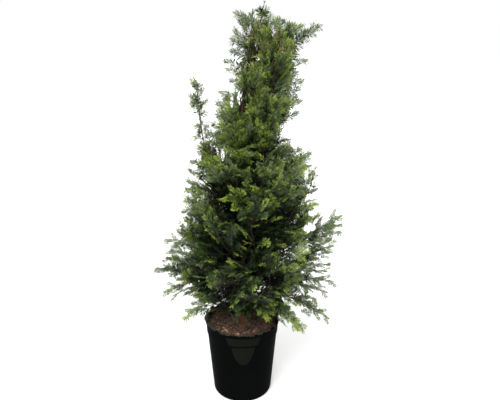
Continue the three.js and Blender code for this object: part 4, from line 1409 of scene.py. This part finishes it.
def build_soil():
    """The top of the soil, with a skirt down into the pot."""
    rings, sides = 46, 120
    points = [(0, 0, soil_height(0, 0))] * sides
    for k in range(1, rings):
        away = SOIL["edge"] * k / (rings - 1)
        for turn in full_turn(sides):
            x, y, _ = on_circle(away, turn, 0)
            points.append((x, y, soil_height(x, y)))
    away, foot = SOIL["skirt"]
    points += [on_circle(away, turn, foot) for turn in full_turn(sides)]
    return np.array(points), tube_faces(rings + 1, sides)


def turn_matrices(count, tilt):
    """Turns about Z at random, then tips a little."""
    spin = rng.random(count) * 2 * math.pi
    tip = rng.normal(0, tilt, (count, 2))
    x = unit(np.stack([np.cos(spin), np.sin(spin), tip[:, 0]], -1))
    z = unit(np.stack([tip[:, 1], -tip[:, 0], np.ones(count)], -1))
    y = unit(np.cross(z, x))
    return np.stack([x, y, np.cross(x, y)], axis=1)


def scatter(count, most):
    """Places on the soil, inside a radius."""
    away = most * np.sqrt(rng.random(count))
    turn = rng.random(count) * 2 * math.pi
    x, y = away * np.cos(turn), away * np.sin(turn)
    z = np.array([soil_height(*place) for place in zip(x, y)])
    return np.stack([x, y, z], -1)


def patches(places, scale, layer):
    """A slow noise over places, one layer of it for each use."""
    return np.array([noise.noise(Vector((x * scale, y * scale, layer))) for x, y, z in places])


def chips(count, spans):
    """Flakes of bark: slabs with uneven corners."""
    size = np.stack([rng.uniform(*span, count) for span in spans], -1)
    corners = CUBE[None] * (0.72 + 0.5 * rng.random((count, 8, 3))) * size[:, None] / 2
    corners[:, :, 2] += 0.06 * corners[:, :, 0] ** 2 / size[:, None, 0]
    turn = turn_matrices(count, 0.28)
    places = scatter(count, LITTER_REACH["chips"])
    places[:, 2] += size[:, 2] * 0.4 + rng.random(count) * 2.2
    points = np.einsum("nij,njk->nik", corners, turn) + places[:, None]
    return points.reshape(-1, 3), repeated_faces(count, 8, CUBE_FACES)


def mossy(places):
    """Patches of moss, and more of it near the rim at the left and the front."""
    away = np.hypot(places[:, 0], places[:, 1])
    by_rim = (away > 104 + 24 * rng.random(len(places))) & (places[:, 0] < 40)
    return places[(patches(places, 0.03, 21) > 0.18) | by_rim]


def rim_moss():
    """Moss that has climbed from the soil over the rim, in a heap at the left."""
    count = RIM_MOSS["blades"]
    degrees = rng.uniform(*RIM_MOSS["turns"], count)
    turn = np.radians(degrees)
    front = np.clip((degrees - RIM_MOSS["front_from"]) / 50, 0, 1)
    at_left = np.exp(-(((degrees - RIM_MOSS["heap_at"]) / RIM_MOSS["heap_spread"]) ** 2))
    away = rng.uniform(125 - 20 * front, 140.5 + 5 * at_left)
    height = 289 + 12 * np.clip((away - 124) / 8, 0, 1)
    heap = at_left * np.clip((away - 122) / 10, 0, 1)
    height += 20 * heap * rng.random(count) * np.clip((146 - away) / 7, 0, 1)
    places = np.stack([away * np.cos(turn), away * np.sin(turn), height], -1)
    kept = patches(places, 0.045, 33) + 0.4 * heap + 0.12 * front > 0.03 * (away - 132)
    return places[kept]


def litter(name, places, colour, length, tilt, rise=0):
    """Small blades on the soil: dead needles that lie, or moss that stands."""
    count = len(places)
    foot = places + (0, 0, rise)
    turn = turn_matrices(count, tilt)
    long = rng.uniform(*length, count)[:, None]
    middle = foot + turn[:, 0] * long * 0.5
    half = turn[:, 1] * 0.8
    points = np.stack([foot, middle + half, middle - half, foot + turn[:, 0] * long], 1)
    material = noisy_material(name, colour, shade(colour, 1.4), 0.75, 200, 0.2)
    on_soil(name, points.reshape(-1, 3), repeated_faces(count, 4, KITE_FACES), material)


def flakes():
    """A few large, pale flakes of bark at the front of the soil."""
    shapes = []
    for x, y, count in FLAKES:
        points, faces = chips(count, FLAKE_SPANS)
        points = points.reshape(count, 8, 3)
        middles = points.mean(axis=1)
        at = np.array([x, y]) + rng.normal(0, 9, (count, 2))
        at *= np.minimum(1, LITTER_REACH["flakes"] / np.linalg.norm(at, axis=1))[:, None]
        points[:, :, :2] += (at - middles[:, :2])[:, None]
        level = np.array([soil_height(*place) for place in at])
        points[:, :, 2] += (level + 2 - middles[:, 2])[:, None]
        shapes.append((points.reshape(-1, 3), faces))
    return join(shapes)


def weed():
    """A few pale, thin stalks that have seeded themselves near the front of the soil."""
    stalks = []
    x, y, z = WEED["foot"]
    for _ in range(WEED["stalks"]):
        turn, lean = 2 * math.pi * rng.random(), rng.uniform(0.1, 0.6)
        high = rng.uniform(28, 66)
        foot = np.array([x + rng.normal(0, WEED["apart"]), y + rng.normal(0, WEED["apart"]), z])
        out = np.array(on_circle(1, turn, 0)) * lean * high
        end = foot + out + up(high)
        bend = foot + out * 0.3 + up(high * 0.6)
        normal = np.array([0, 1.0, 0.1])
        stalks.append({"control": [foot, bend, end], "normal": normal, "foot": 0.9, "tip": 0.4})
    return stalks


def on_soil(name, points, faces, material, smooth=False):
    add_piece(name, points, faces, material, "soil", ["soil"], smooth)


def make_soil():
    """The soil and all that lies on it, in the order of their random numbers."""
    peat = noisy_material("soil_peat", (0.012, 0.008, 0.005), (0.030, 0.020, 0.012), 0.95, 140, 0.9)
    on_soil("soil_top", *build_soil(), peat, True)
    for name, (count, colour) in CHIPS.items():
        material = noisy_material(f"chip_{name}", colour, shade(colour, 1.5), 0.85, 220, 0.6)
        on_soil(f"chips_{name}", *chips(count, CHIP_SPANS), material)
    needles = scatter(700, LITTER_REACH["needles"])
    litter("dead_needles", needles, (0.20, 0.105, 0.045), (9, 17), 0.16, 2.4)
    moss = mossy(scatter(12000, LITTER_REACH["moss"]))
    litter("moss", moss, (0.045, 0.052, 0.018), (2, 5), 1.3, 0.4)
    litter("rim_moss", rim_moss(), (0.022, 0.023, 0.011), (2, 4.5), 1.3)
    flake = noisy_material("flake_pale", (0.26, 0.12, 0.075), (0.36, 0.19, 0.12), 0.8, 220, 0.5)
    on_soil("chips_pale", *flakes(), flake)
    green = noisy_material("weed_pale", (0.13, 0.13, 0.055), (0.19, 0.17, 0.085), 0.7, 150, 0.2)
    on_soil("weed", *tubes(weed(), 4, 7), green, True)


make_soil()

# ---- floor, lights and camera

CAMERA = {"pitch": 72, "turn": -0.9, "sensor": 36, "focal_pixels": 560, "frame_pixels": 500}
FLOOR_RADIUS = 20  # in metres


def make_floor():
    floor_mesh = bpy.data.meshes.new("floor")
    corners = [on_circle(FLOOR_RADIUS, turn, 0) for turn in full_turn(96)]
    floor_mesh.from_pydata(corners, [], [range(len(corners))])
    floor = bpy.data.objects.new("floor", floor_mesh)
    bpy.context.scene.collection.objects.link(floor)
    plain = noisy_material("floor_plain", (0.86, 0.86, 0.855), (0.87, 0.87, 0.865), 0.9, 3, 0.02)
    floor_mesh.materials.append(plain)


def make_world():
    world = bpy.data.worlds.new("studio")
    world.use_nodes = True
    background = world.node_tree.nodes["Background"]
    background.inputs["Color"].default_value = (1, 1, 1, 1)
    background.inputs["Strength"].default_value = 1.0
    bpy.context.scene.world = world


def soft_sun(name, place, strength, spread):
    """A sun that shines from a place towards the crown, as soft as a large lamp."""
    light = bpy.data.lights.new(name, "SUN")
    light.energy = strength
    light.angle = math.radians(spread)
    lamp = bpy.data.objects.new(name, light)
    lamp.location = place
    lamp.rotation_euler = Vector(place).to_track_quat("Z", "Y").to_euler()
    bpy.context.scene.collection.objects.link(lamp)


def make_camera():
    camera = bpy.data.objects.new("camera", bpy.data.cameras.new("camera"))
    camera.location = (0, -EYE_AWAY * MM, EYE_HEIGHT * MM)
    camera.rotation_euler = (math.radians(CAMERA["pitch"]), 0, math.radians(CAMERA["turn"]))
    camera.data.sensor_width = CAMERA["sensor"]
    camera.data.lens = CAMERA["focal_pixels"] * CAMERA["sensor"] / CAMERA["frame_pixels"]
    bpy.context.scene.collection.objects.link(camera)
    bpy.context.scene.camera = camera


make_floor()
make_world()
soft_sun("key", (-1.2, -2.4, 3.4), 3.2, 35)
soft_sun("fill", (2.4, -1.4, 2.6), 1.0, 60)
make_camera()
bpy.context.scene.view_settings.view_transform = "Standard"
